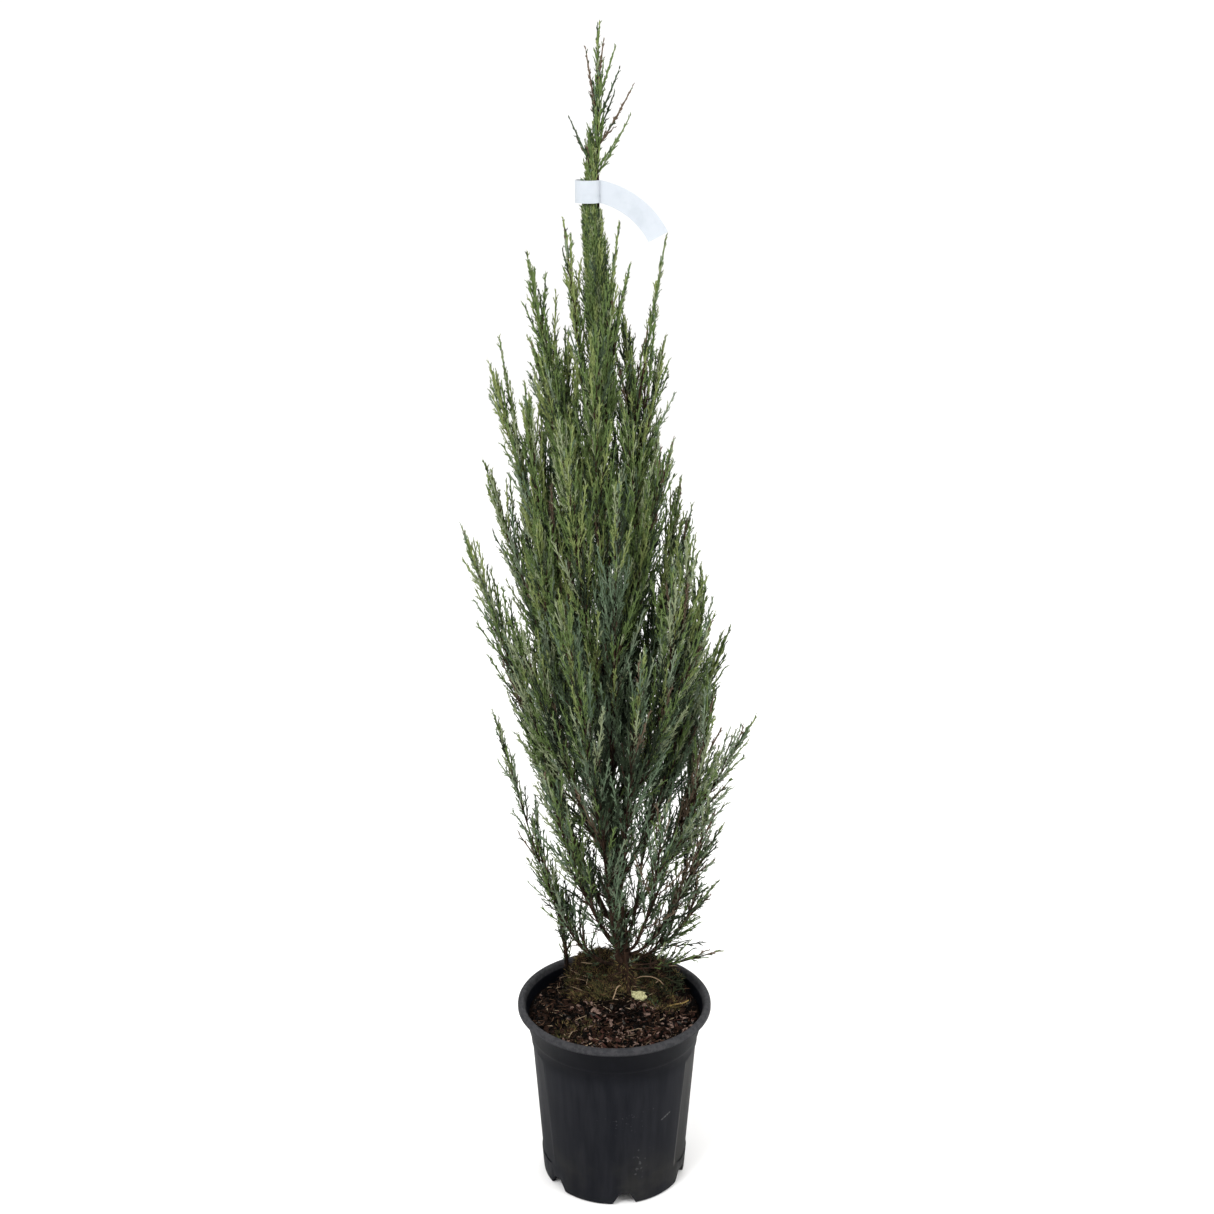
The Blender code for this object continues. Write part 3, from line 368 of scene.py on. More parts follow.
lip = height.rising(LIP_FOOT - 0.0005, LIP_FOOT + 0.0020)
dust = (1 - height.rising(0.01, 0.11)) * blotches.rising(0.42, 0.70)
# collar is painted shade: the band from under the collar's foot up to the lip is darkened as if shaded by the
# lip.
collar = height.rising(COLLAR_FOOT_HEIGHT - 0.030, COLLAR_FOOT_HEIGHT + 0.006) * (1 - lip)
scratch = rubbed((0.0655, 0.1248), 0.0150, 0.0026, 0.53)
scuffs = rubbed((0.0330, 0.0640), 0.0500, 0.0300, 1.30) * plastic.grain(210, 2, 0.5).rising(0.60, 0.68)
rubs = rubbed((0.0180, 0.1300), 0.0900, 0.0400, 0.20) * plastic.grain(260, 2, 0.5).rising(0.66, 0.72)
beside = abs(plastic.axis("Y"))
# On the right side only, the panel is painted lighter and its edges lighter still: painted light on the right
# panel, with painted highlights along its edges.
right_side_band = plastic.axis("X").rising(0.0, 0.01) * height.rising(PANEL_FOOT - 0.002, PANEL_FOOT + 0.008)
right_side_band = right_side_band * (1 - height.rising(PANEL_TOP - 0.008, PANEL_TOP))
right_panel_light = right_side_band * (1 - beside.rising(PANEL_HALF_WIDTH - 0.002, PANEL_HALF_WIDTH))
panel_edge_highlight = right_side_band * (1 - abs(beside - PANEL_HALF_WIDTH).rising(0.0004, 0.0018))
plastic.look((0.0052, 0.0059, 0.0083), (
    (streaks.rising(0.35, 0.70) * 0.8, (0.0120, 0.0127, 0.0157)),
    (dust * 0.45, (0.030, 0.029, 0.024)),
    (lip * (0.55 + 0.45 * mottle.rising(0.35, 0.60)), (0.040, 0.040, 0.043)),
    # painted shade on the collar, under the lip
    (collar * 0.90, (0.0014, 0.0018, 0.0032)),
    (scratch * speckle.rising(0.35, 0.55) * 0.55, (0.130, 0.130, 0.130)),
    ((scuffs + rubs) * 0.35, (0.085, 0.088, 0.090)),
    # painted light on the right panel and painted highlights along its edges
    (right_panel_light * 0.55, (0.026, 0.025, 0.023)),
    (panel_edge_highlight * 0.55, (0.085, 0.084, 0.080)),
), speckle * 0.35 + streaks, 0.0004, 0.5)
plastic.feed("Roughness", 0.40 + 0.18 * blotches + 0.10 * lip + 0.10 * streaks)
painted(pot, plastic, "plastic", "pot")


# The compost is dark fibrous crumb with painted shade between the crumbs, and the old root ball's mossy hump
# round the trunk. It fills the pot to 22 mm under the lip, and moss and litter are heaped on it behind the
# trunk.
SOIL_LEVEL = 0.228
SOIL_FLOOR = 0.180
HUMP_CENTRE = (0.002, 0.022)
HUMP_RADIUS = 0.088
HUMP_RISE = 0.032
SOIL_SIDES = 160
SOIL_RINGS = 46
CRUMB_HEIGHT = 0.0055

# Each heap: its middle, its two radii and how far it rises.
HEAPS = (
    (-0.018, 0.072, 0.066, 0.052, 0.038),
    (0.056, 0.060, 0.062, 0.056, 0.036),
    (-0.052, 0.070, 0.026, 0.036, 0.014),
)


def inner_radius(height):
    """The pot's inner wall between its collar's foot and its lip."""
    share = (height - COLLAR_FOOT_HEIGHT) / (LIP_FOOT - COLLAR_FOOT_HEIGHT)
    return BODY_TOP_RADIUS + (COLLAR_TOP_RADIUS - BODY_TOP_RADIUS) * share - POT_WALL


def hump_height(x, y):
    away = np.minimum(np.hypot(x - HUMP_CENTRE[0], y - HUMP_CENTRE[1]) / HUMP_RADIUS, 1.0)
    return SOIL_LEVEL + HUMP_RISE * (0.5 + 0.5 * np.cos(np.pi * away))


def crumbs(x, y):
    """The crumbly relief, from big lumps to fine grains."""
    spot = Vector((x, y, 0.0))
    lumps = noise.noise(spot * 55) + 0.6 * noise.noise(spot * 140) + 0.5 * noise.noise(spot * 420)
    return CRUMB_HEIGHT * 0.6 * lumps


def heap_height(x, y):
    rise = 0.0
    for across, along, wide, deep, high in HEAPS:
        away = min(math.hypot((x - across) / wide, (y - along) / deep), 1.0)
        rise += high * (0.5 + 0.5 * math.cos(math.pi * away))
    return rise * (1 + 0.25 * noise.noise(Vector((40 * x, 40 * y, 3.0))))


def ground_height(x, y):
    """The rippled compost with what is heaped on it."""
    ripple = 0.0022 * math.sin(75 * x + 1.0) * math.cos(62 * y - 0.5)
    return float(hump_height(x, y)) + ripple + heap_height(x, y)


brim = inner_radius(SOIL_LEVEL) - 0.0004
foot = body_radius(SOIL_FLOOR) - POT_WALL - 0.0006
soil_outline = [(foot, SOIL_FLOOR), (inner_radius(COLLAR_FOOT_HEIGHT) - 0.001, COLLAR_FOOT_HEIGHT)]
soil_outline += [(brim * (SOIL_RINGS - ring) / SOIL_RINGS, SOIL_LEVEL) for ring in range(SOIL_RINGS)]
compost = drawn_up("compost_surface", soil_outline, SOIL_SIDES)
for vert in compost.data.vertices:
    x, y, z = vert.co
    if z > SOIL_LEVEL - 0.0005:
        edge = min((brim - math.hypot(x, y)) / 0.004, 1.0)
        vert.co.z = ground_height(x, y) + edge * crumbs(x, y)
compost.data.shade_smooth()

soil = Finish("dark compost and gap shade", 0.95, 0.04)
crumb = soil.grain(330, 6, 0.7)
patch = soil.grain(38, 4, 0.6)
mossy = soil.axis("Z").rising(0.240, 0.256) * patch.rising(0.38, 0.55)
# The near-black base that shows between the crumbs is partly the compost's own dark and partly painted shade
# in the gaps between crumbs.
soil.look((0.0004, 0.0003, 0.0002), (
    (crumb.rising(0.38, 0.66), (0.0080, 0.0050, 0.0034)),
    (patch.rising(0.42, 0.62) * crumb.rising(0.45, 0.7), (0.021, 0.0115, 0.008)),
    (mossy * 0.7, (0.009, 0.006, 0.003)),
), crumb, 0.0020, 0.9)
painted(compost, soil, "compost", "compost")


def joined_mesh(name, corners, faces):
    """Many copies of one small shape as one mesh: corners is (copies, points, 3), faces are triangles."""
    copies, points, _ = corners.shape
    faces = np.array(faces)
    indices = (np.arange(copies)[:, None, None] * points + faces[None]).reshape(-1)
    mesh = bpy.data.meshes.new(name)
    mesh.vertices.add(copies * points)
    mesh.vertices.foreach_set("co", corners.astype(np.float32).ravel())
    mesh.loops.add(len(indices))
    mesh.loops.foreach_set("vertex_index", indices.astype(np.int32))
    mesh.polygons.add(len(indices) // 3)
    mesh.polygons.foreach_set("loop_start", np.arange(0, len(indices), 3, dtype=np.int32))
    mesh.update(calc_edges=True)
    mesh.shade_smooth()
    return linked(name, mesh)


def unit(vectors):
    return vectors / np.maximum(np.linalg.norm(vectors, axis=-1, keepdims=True), 1e-9)


# Bark chips, splinters and dead needles lie on the compost in every direction, some of them pale
# where their inner side shows. Each is a small broken slab, thinner towards its ends.
CHIP_KINDS = {
    "chips_dark": (2500, 0.0054, (0.0024, 0.0017, 0.0014)),
    "chips_brown": (950, 0.0060, (0.026, 0.013, 0.0085)),
    "chips_red": (430, 0.0066, (0.066, 0.030, 0.023)),
    "chips_pale": (560, 0.0068, (0.240, 0.161, 0.130)),
    "chips_grey": (420, 0.0042, (0.072, 0.067, 0.060)),
}
FRONT_KINDS = ("chips_pale", "chips_red")
SOIL_REACH = 0.985
HEAP_EDGE = 0.006
TRUNK_CLEARING = 0.040
LONGEST_CHIP = 0.012
LONGEST_ON_HEAP = 0.006
THICKEST_CHIP = 0.0022
CHIP_OUTLINE = ((-1.0, 0.35), (-0.45, 1.0), (0.55, 0.85), (1.0, 0.25), (0.50, -0.90), (-0.55, -0.75))


def spread_on_soil(rng, count):
    """Even random places on the compost."""
    away = brim * SOIL_REACH * np.sqrt(rng.uniform(0.0, 1.0, count))
    turn = rng.uniform(0, math.tau, count)
    return np.stack([away * np.cos(turn), away * np.sin(turn)], axis=1)


def heaped(spots):
    """Whether each place lies on a heap of moss or near the trunk's foot."""
    on_heap = np.array([heap_height(x, y) for x, y in spots]) > HEAP_EDGE
    away = np.hypot(spots[:, 0] - HUMP_CENTRE[0], spots[:, 1] - HUMP_CENTRE[1])
    return on_heap | (away < TRUNK_CLEARING)


def scattered_chips(name, count, size, rng):
    spots = spread_on_soil(rng, count)
    spots = spots[~heaped(spots) | (rng.uniform(0, 1, count) < 0.12)]
    count = len(spots)
    if name in FRONT_KINDS:
        front = (spots[:, 1] < 0.005) & (spots[:, 0] > -0.055 + rng.uniform(-0.02, 0.02, count))
        spots = spots[front | (rng.uniform(0, 1, count) < 0.06)]
    count = len(spots)
    level = np.array([ground_height(x, y) + 0.5 * crumbs(x, y) for x, y in spots])
    long = np.minimum(size * rng.lognormal(0.0, 0.42, count), LONGEST_CHIP)
    long = np.where(heaped(spots), np.minimum(long, LONGEST_ON_HEAP), long)
    wide = long * rng.uniform(0.22, 0.62, count)
    thick = np.minimum(long * rng.uniform(0.08, 0.22, count), THICKEST_CHIP)
    turn = rng.uniform(0, math.tau, count)
    slope = rng.normal(0.0, 0.50, count)
    roll = rng.normal(0.0, 0.65, count)
    along = np.stack([np.cos(turn) * np.cos(slope), np.sin(turn) * np.cos(slope), np.sin(slope)], axis=1)
    flat = np.stack([-np.sin(turn), np.cos(turn), np.zeros(count)], axis=1)
    across = flat * np.cos(roll)[:, None] + np.cross(along, flat) * np.sin(roll)[:, None]
    upright = np.cross(along, across)
    middle = np.column_stack([spots, level + thick * 0.5 + np.abs(np.sin(slope)) * long * 0.35])
    over = np.hypot(middle[:, 0], middle[:, 1]) + long * 0.6
    middle[:, :2] *= np.minimum(1.0, (brim - 0.002) / over)[:, None]
    corners = []
    for side in (-0.5, 0.5):
        for x, y in CHIP_OUTLINE:
            jitter = rng.uniform(0.65, 1.25, (count, 2))
            corners.append(
                middle + along * (x * 0.5 * long * jitter[:, 0])[:, None]
                + across * (y * 0.5 * wide * jitter[:, 1])[:, None]
                + upright * (side * thick * rng.uniform(0.6, 1.3, count))[:, None]
            )
    edge = len(CHIP_OUTLINE)
    faces = [(0, index + 1, index) for index in range(1, edge - 1)]
    faces += [(edge, edge + index, edge + index + 1) for index in range(1, edge - 1)]
    for index in range(edge):
        after = (index + 1) % edge
        faces += [(index, after, edge + after), (index, edge + after, edge + index)]
    chips = joined_mesh(name, np.stack(corners, axis=1), faces)
    chips.data.set_sharp_from_angle(angle=math.radians(30))
    return chips


for number, (name, (count, size, tint)) in enumerate(CHIP_KINDS.items()):
    chips = scattered_chips(name, count, size, np.random.default_rng(100 + number))
    chip_finish = Finish(name.replace("_", " "), 0.85, 0.06)
    fibre = chip_finish.grain(900, 4, 0.6, (1, 1, 0.4))
    darker = [0.35 * channel for channel in tint]
    chip_finish.look(darker, [(fibre.rising(0.38, 0.62), tint)], fibre, 0.0006, 0.7)
    painted(chips, chip_finish, "compost", "compost")


# The root ball's hump wears moss and old juniper litter in small domed tufts, golden olive over brown,
# and thin fibres, dry stalks, one pale flake and a few green blades lie or stand between them.
MOSS_TINTS = {
    "moss_gold": (0.17, (0.175, 0.128, 0.054)),
    "moss_olive": (0.27, (0.068, 0.068, 0.025)),
    "moss_brown": (0.28, (0.048, 0.026, 0.015)),
    "moss_dark": (0.28, (0.006, 0.004, 0.003)),
}
# Each patch of tufts: its middle, its two radii and how many tufts it has.
MOSS_PATCHES = (
    (-0.013, 0.046, 0.052, 0.050, 260),
    (0.030, 0.072, 0.064, 0.034, 110),
    (0.058, 0.012, 0.034, 0.024, 60),
    (-0.056, -0.050, 0.036, 0.030, 22),
)
TUFT_SHOOTS = 30
TUFT_RADIUS = 0.0056
FIBRE_TINTS = {
    "fibres_dark": (1100, (0.016, 0.010, 0.007)),
    "fibres_brown": (600, (0.085, 0.047, 0.029)),
    "fibres_pale": (190, (0.300, 0.225, 0.150)),
}
# Each shoot's shape: the share of its length and of its radius at every ring.
TUFT_SHAPE = ((0.3, 1.0),)
FIBRE_SHAPE = ((0.1, 1.0), (0.8, 0.8))
SPRIG_SHAPE = ((0.2, 1.0), (0.7, 0.8))
BLADE_SHAPE = ((0.2, 1.0), (0.7, 0.7))
LITTER_GLOSS = 0.10


class Shoots(namedtuple("Shoots", "root way bend length radius tone")):
    """Many slim shoots as arrays, each bent along root + length * (way * share + bend * share ** 2)."""

    def kept(self, mask):
        return Shoots(*(column[mask] for column in self))

    def point(self, share):
        share = np.broadcast_to(share, self.length.shape)[:, None]
        return self.root + self.length[:, None] * (self.way * share + self.bend * share ** 2)

    def tangent(self, share):
        return unit(self.way + 2 * self.bend * np.broadcast_to(share, self.length.shape)[:, None])

    def end_part(self, start, radius):
        """The same shoots from a share of their length to their tips, at one radius."""
        left = 1 - start
        way = self.way + 2 * start * self.bend
        radii = np.full(self.length.shape, radius)
        return Shoots(self.point(start), way, self.bend * left, self.length * left, radii, self.tone)

    def piece(self, name, shape, finish, slot, *nodes):
        """The shoots as one painted mesh, three corners at each ring between root and tip."""
        side, up = square_to(unit(self.way))
        made = [self.root]
        for share, thickness in shape:
            middle = self.point(share)
            for corner in range(3):
                angle = math.tau * corner / 3
                offset = math.cos(angle) * side + math.sin(angle) * up
                made.append(middle + (self.radius * thickness)[:, None] * offset)
        made.append(self.point(1.0))
        mesh = joined_mesh(name, np.stack(made, axis=1), shoot_faces(len(shape)))
        return painted(mesh, finish, slot, *nodes)


def square_to(ways):
    """Two unit vectors square to each way and to each other."""
    upright = np.abs(ways[:, 2:]) > 0.9
    reference = np.where(upright, np.array([[1.0, 0.0, 0.0]]), np.array([[0.0, 0.0, 1.0]]))
    side = unit(np.cross(ways, reference))
    return side, np.cross(side, ways)


def shoot_faces(rings):
    """A fan at each end and two triangles a side between rings."""
    faces = [(0, 1 + (corner + 1) % 3, 1 + corner) for corner in range(3)]
    for ring in range(rings - 1):
        for corner in range(3):
            low, after = 1 + ring * 3 + corner, 1 + ring * 3 + (corner + 1) % 3
            faces += [(low, after, after + 3), (low, after + 3, low + 3)]
    last = 1 + (rings - 1) * 3
    return faces + [(last + corner, last + (corner + 1) % 3, 3 * rings + 1) for corner in range(3)]


def inside_pot(shoots):
    tips = shoots.point(1.0)
    return shoots.kept(np.hypot(tips[:, 0], tips[:, 1]) < brim - 0.001)


def lay(rng, name, spots, rise, length, radius, shape, tint, roughness=0.85):
    """Slim shoots that start on the compost at the spots, at random ways and rises, as one piece."""
    count = len(spots)
    turn = rng.uniform(0, math.tau, count)
    climb = np.radians(rng.uniform(*rise, count))
    way = np.stack([np.cos(turn) * np.cos(climb), np.sin(turn) * np.cos(climb), np.sin(climb)], axis=1)
    level = np.array([ground_height(x, y) + crumbs(x, y) for x, y in spots])
    bend = rng.normal(0, 0.16, (count, 3))
    bend[:, 2] = -0.55 * np.sin(climb)
    long = rng.uniform(*length, count)
    root = np.column_stack([spots, level])
    shoots = inside_pot(Shoots(root, way, bend, long, rng.uniform(*radius, count), np.zeros(count, int)))
    finish = Finish(name.replace("_", " "), roughness, LITTER_GLOSS, tint)
    shoots.piece(name, shape, finish, "compost", "compost")


def tufted(rng):
    """The moss: domes of fine shoots that point away from each dome's middle, each dome of one tone."""
    middles = []
    for across, along, wide, deep, tufts in MOSS_PATCHES:
        away = np.sqrt(rng.uniform(0, 1, tufts))
        turn = rng.uniform(0, math.tau, tufts)
        spots = [across + wide * away * np.cos(turn), along + deep * away * np.sin(turn)]
        middles.append(np.column_stack(spots))
    middles = np.concatenate(middles)
    middles = middles[np.hypot(middles[:, 0], middles[:, 1]) < brim - 0.009]
    shares = [share for share, _ in MOSS_TINTS.values()]
    tones = np.repeat(rng.choice(len(shares), size=len(middles), p=shares), TUFT_SHOOTS)
    count = len(tones)
    tones = np.where(rng.uniform(0, 1, count) < 0.30, rng.choice(len(shares), size=count, p=shares), tones)
    width = np.repeat(TUFT_RADIUS * rng.uniform(0.6, 1.3, len(middles)), TUFT_SHOOTS)
    offset = rng.normal(0, 0.5, (count, 2))
    spots = np.repeat(middles, TUFT_SHOOTS, axis=0) + offset * width[:, None]
    dome = 0.45 * width * np.maximum(1 - (offset ** 2).sum(axis=1), -0.3)
    root = np.column_stack([spots, [ground_height(x, y) for x, y in spots] + dome])
    way = unit(np.column_stack([offset + rng.normal(0, 0.35, (count, 2)), rng.uniform(0.25, 1.3, count)]))
    bend = rng.normal(0, 0.18, (count, 3))
    bend[:, 2] -= 0.15
    length = rng.uniform(0.0035, 0.0105, count)
    return inside_pot(Shoots(root, way, bend, length, rng.uniform(0.00028, 0.00062, count), tones))


rng = np.random.default_rng(7)
moss = tufted(rng)
moss_finishes = {}
for number, (name, (_, tint)) in enumerate(MOSS_TINTS.items()):
    moss_finishes[name] = Finish(name.replace("_", " "), 0.85, LITTER_GLOSS, tint)
    moss.kept(moss.tone == number).piece(name, TUFT_SHAPE, moss_finishes[name], "compost", "compost")
for name, (count, tint) in FIBRE_TINTS.items():
    spots = spread_on_soil(rng, count)
    lay(rng, name, spots, (0, 34), (0.007, 0.024), (0.0003, 0.0009), FIBRE_SHAPE, tint)

# Fallen sprigs of juniper lie on the right and behind.
fallen = np.column_stack([rng.uniform(0.012, 0.108, 760), rng.uniform(-0.004, 0.106, 760)])
fallen = fallen[heaped(fallen) & (np.hypot(fallen[:, 0], fallen[:, 1]) < brim - 0.004)]
lay(
    rng, "fallen_sprigs", fallen, (4, 70), (0.008, 0.026), (0.0007, 0.0011), SPRIG_SHAPE,
    (0.026, 0.034, 0.017),
)

# Dry stalks: the radius of each, its finish, and places on the ground with the height over it.
straw = Finish("dry stalk", 0.85, LITTER_GLOSS, (0.330, 0.235, 0.150))
yellow_straw = Finish("yellow stalk", 0.85, LITTER_GLOSS, (0.240, 0.165, 0.060))
STALKS = {
    "arched_stalk": (0.0006, straw, (
        (0.022, 0.018, 0.001), (0.029, 0.021, 0.010), (0.044, 0.024, 0.014), (0.058, 0.026, 0.012),
        (0.065, 0.027, 0.006),
    )),
    "short_stalk": (0.0007, straw, (
        (-0.002, -0.010, 0.002), (0.001, -0.005, 0.005), (0.004, 0.000, 0.008), (0.008, 0.002, 0.009),
    )),
    "yellow_stalk": (0.0008, yellow_straw, (
        (0.065, 0.002, 0.001), (0.078, 0.007, 0.005), (0.090, 0.008, 0.007), (0.097, 0.010, 0.010),
    )),
}
for name, (radius, finish, points) in STALKS.items():
    curve = bpy.data.curves.new(name, "CURVE")
    curve.dimensions = "3D"
    curve.bevel_depth = radius
    curve.bevel_resolution = 2
    curve.use_fill_caps = True
    spline = curve.splines.new("BEZIER")
    spline.bezier_points.add(len(points) - 1)
    for knot, (x, y, rise) in zip(spline.bezier_points, points):
        knot.co = (x, y, ground_height(x, y) + rise)
        knot.handle_left_type = knot.handle_right_type = "AUTO"
    picked(linked(name, curve))
    bpy.ops.object.convert(target="MESH")
    painted(bpy.context.object, finish, "compost", "compost")

blade_spots = np.concatenate([
    np.column_stack([rng.normal(0.039, 0.007, 26), rng.normal(0.002, 0.005, 26)]),
    np.column_stack([rng.normal(-0.021, 0.007, 14), rng.normal(0.038, 0.006, 14)]),
])
lay(
    rng, "green_blades", blade_spots, (48, 84), (0.010, 0.021), (0.0005, 0.0008), BLADE_SHAPE,
    (0.055, 0.110, 0.055), 0.6,
)

# One pale flake of lichen-grown bark lies tilted in front of the trunk.
FLAKE_PLACE = (0.031, -0.003)
FLAKE_WIDTH = 0.0195
FLAKE_DEPTH = 0.0112
FLAKE_TILT = 0.80
FLAKE_THICKNESS = 0.0018
FLAKE_RAISED = 0.0065
flake = added(bpy.ops.mesh.primitive_grid_add, x_subdivisions=11, y_subdivisions=7, size=1)
flake.name = "pale_flake"
flake_level = ground_height(*FLAKE_PLACE) + FLAKE_RAISED
for vert in flake.data.vertices:
    x, y, _ = vert.co
    ragged = 1 + 0.45 * noise.noise(Vector((3 * x, 3 * y, 4.0)))
    ragged *= 1 - 1.5 * (x * y) ** 2 - 0.6 * max(-y, 0.0)
    out, back = FLAKE_WIDTH * x * ragged * (0.94 + 0.20 * y), FLAKE_DEPTH * y * ragged
    lift = FLAKE_TILT * back - 0.10 * out + 0.0012 * noise.noise(Vector((5 * x, 5 * y, 1.0)))
    vert.co = (FLAKE_PLACE[0] + out, FLAKE_PLACE[1] + back, flake_level + lift)
apply_modifier(flake, "SOLIDIFY", thickness=FLAKE_THICKNESS, offset=0.0)
lichen = Finish("lichened flake", 0.9, 0.1)
mottle = lichen.grain(520, 4, 0.6)
lichen.look((0.170, 0.155, 0.075), [(mottle.rising(0.38, 0.58), (0.400, 0.395, 0.220))], mottle, 0.0010, 0.7)
painted(flake, lichen, "compost", "compost")


# The trunk and boughs wear thin reddish-brown bark that comes off in long fibrous strips. Each limb
# is one swept skin whose rings carry the strips' relief, and it stands where its solid stands.
GAP = 0.0003
SEED = 41
GOLDEN_ANGLE = math.radians(137.508)
TRUNK_FOOT, TRUNK_TOP = (corner.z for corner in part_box("trunk"))
TRUNK_PLACE = (-0.0065, 0.006)
TRUNK_LEAN = -0.0135
TRUNK_BEND = 0.024
TRUNK_BEND_FADE = 0.176
TRUNK_BEND_BACK = 0.009
TRUNK_BEND_BACK_FADE = 0.25
TRUNK_TIP_RADIUS = 0.0018
TRUNK_TAPER = 0.0057
TRUNK_BUTT = 0.0045
TRUNK_BUTT_FADE = 0.090
ROOT_FLARE = 0.0030
ROOT_FLARE_FADE = 0.010
LEADER_TIP = 1.458

# Each limb: azimuth, root height, reach from the trunk's line, tip height, bow and bare share.
LIMBS = {
    "left_basal": (178, 0.288, 0.143, 0.650, 0.95, 0.40),
    "right_sprig": (351, 0.284, 0.131, 0.323, 0.4, 0.52),
    "right_fan": (14, 0.294, 0.137, 0.396, 0.5, 0.40),
    "right_low": (355, 0.306, 0.143, 0.502, 0.4, 0.34),
    "front_low": (256, 0.302, 0.062, 0.640, 0.5, 0.22),
    "front_right_low": (308, 0.316, 0.118, 0.575, 0.5, 0.30),
    "front_left_low": (222, 0.330, 0.112, 0.610, 0.3, 0.30),
    "back_low": (96, 0.300, 0.128, 0.570, 0.5, 0.30),
    "back_left_low": (139, 0.314, 0.132, 0.600, 0.5, 0.30),
    "back_right_low": (52, 0.324, 0.128, 0.620, 0.4, 0.30),
    "left_far": (180, 0.360, 0.170, 0.890, 0.0, 0.32),
    "right_far": (357, 0.362, 0.185, 0.646, 0.1, 0.34),
    "right_second": (10, 0.420, 0.158, 0.751, 0.1, 0.30),
    "front_right": (296, 0.404, 0.108, 0.770, 0.2, 0.26),
    "front_left": (242, 0.440, 0.112, 0.840, 0.2, 0.26),
    "back_right": (72, 0.410, 0.140, 0.760, 0.2, 0.28),
    "back_left": (118, 0.436, 0.138, 0.820, 0.2, 0.28),
    "left_inner": (199, 0.450, 0.126, 0.800, 0.1, 0.0),
    "right_third": (332, 0.500, 0.148, 0.799, 0.1, 0.0),
    "right_fourth": (31, 0.520, 0.129, 0.896, 0.1, 0.0),
    "left_second": (173, 0.510, 0.143, 0.966, 0.0, 0.0),
    "left_third": (186, 0.610, 0.130, 1.090, 0.0, 0.0),
    "front_high_right": (284, 0.570, 0.086, 0.980, 0.2, 0.0),
    "front_high_left": (236, 0.640, 0.088, 1.050, 0.2, 0.0),
    "back_high_right": (68, 0.560, 0.112, 0.960, 0.2, 0.0),
    "back_high_left": (126, 0.600, 0.108, 1.020, 0.2, 0.0),
    "right_fifth": (345, 0.690, 0.088, 1.000, 0.1, 0.0),
    "right_sixth": (16, 0.790, 0.081, 1.113, 0.1, 0.0),
    "left_fourth": (176, 0.790, 0.083, 1.212, 0.1, 0.0),
    "front_upper": (266, 0.770, 0.056, 1.140, 0.2, 0.0),
    "back_upper": (92, 0.750, 0.078, 1.120, 0.2, 0.0),
    "right_seventh": (1, 0.880, 0.078, 1.230, 0.3, 0.0),
    "left_fifth": (196, 0.960, 0.041, 1.250, 0.2, 0.0),
    "front_top": (292, 0.960, 0.030, 1.195, 0.2, 0.0),
    "back_top": (100, 0.970, 0.034, 1.220, 0.2, 0.0),
}

# Side stems fork off the limbs: the limb, the share of its length that they leave it at, their tip.
SIDE_STEMS = (
    ("right_third", 0.36, (0.086, -0.048, 0.905)), ("right_third", 0.26, (0.066, -0.070, 0.870)),
    ("right_fourth", 0.30, (0.080, 0.045, 0.940)), ("right_second", 0.40, (0.102, -0.018, 0.850)),
    ("right_second", 0.30, (0.084, 0.060, 0.800)), ("right_far", 0.38, (0.110, -0.038, 0.720)),
    ("right_far", 0.30, (0.098, 0.040, 0.650)), ("right_low", 0.40, (0.116, -0.030, 0.560)),
    ("right_low", 0.30, (0.098, 0.034, 0.500)), ("right_fan", 0.30, (0.104, -0.018, 0.440)),
    ("right_fan", 0.22, (0.072, 0.046, 0.410)), ("front_right_low", 0.30, (0.070, -0.050, 0.480)),
    ("right_fifth", 0.34, (0.052, 0.030, 1.010)), ("left_third", 0.42, (-0.104, -0.022, 1.068)),
    ("left_third", 0.30, (-0.088, 0.040, 1.020)), ("left_fourth", 0.34, (-0.083, -0.024, 1.100)),
    ("left_second", 0.38, (-0.112, 0.026, 0.930)), ("left_second", 0.28, (-0.090, -0.046, 0.920)),
    ("left_far", 0.40, (-0.118, -0.034, 0.780)), ("left_inner", 0.34, (-0.092, -0.040, 0.760)),
    ("left_basal", 0.22, (-0.068, 0.004, 0.410)), ("left_basal", 0.30, (-0.088, -0.022, 0.470)),
    ("left_basal", 0.40, (-0.100, 0.022, 0.530)), ("front_left_low", 0.30, (-0.074, -0.052, 0.500)),
    ("right_sixth", 0.25, (0.018, 0.004, 1.102)), ("right_sixth", 0.18, (0.007, 0.016, 1.146)),
    ("right_fifth", 0.24, (0.002, -0.020, 1.062)), ("left_fourth", 0.22, (-0.054, 0.016, 1.120)),
    ("left_fourth", 0.30, (-0.098, -0.010, 1.114)), ("left_fourth", 0.40, (-0.091, 0.014, 1.135)),
)
# These side stems bear only short twigs.
THIN_STEMS = (
    ("left_basal", 0.06, (-0.030, 0.000, 0.405)), ("left_basal", 0.12, (-0.046, 0.030, 0.415)),
    ("left_basal", 0.09, (-0.038, 0.052, 0.385)), ("left_basal", 0.04, (-0.016, -0.014, 0.372)),
    ("right_low", 0.10, (0.052, -0.012, 0.372)), ("right_fan", 0.12, (0.066, 0.030, 0.360)),
    ("front_top", 0.62, (0.0046, -0.006, 1.244)), ("front_top", 0.30, (0.0176, -0.006, 1.199)),
    ("front_top", 0.45, (-0.0016, -0.014, 1.196)), ("front_top", 0.20, (0.0109, -0.012, 1.176)),
    ("right_sixth", 0.34, (0.0464, 0.002, 1.147)), ("left_third", 0.60, (-0.134, 0.012, 1.112)),
)
THIN_FULLNESS = 0.20
LEAST_ROOT_RADIUS = 0.0005
LIMB_SLENDERNESS = 0.0068
STEM_TIP_RADIUS = 0.0007
THINNER = {"left_basal": 0.62}
LINE_START = (1.7, 0.9)
HANDLE_REACH = (0.18, 0.60)
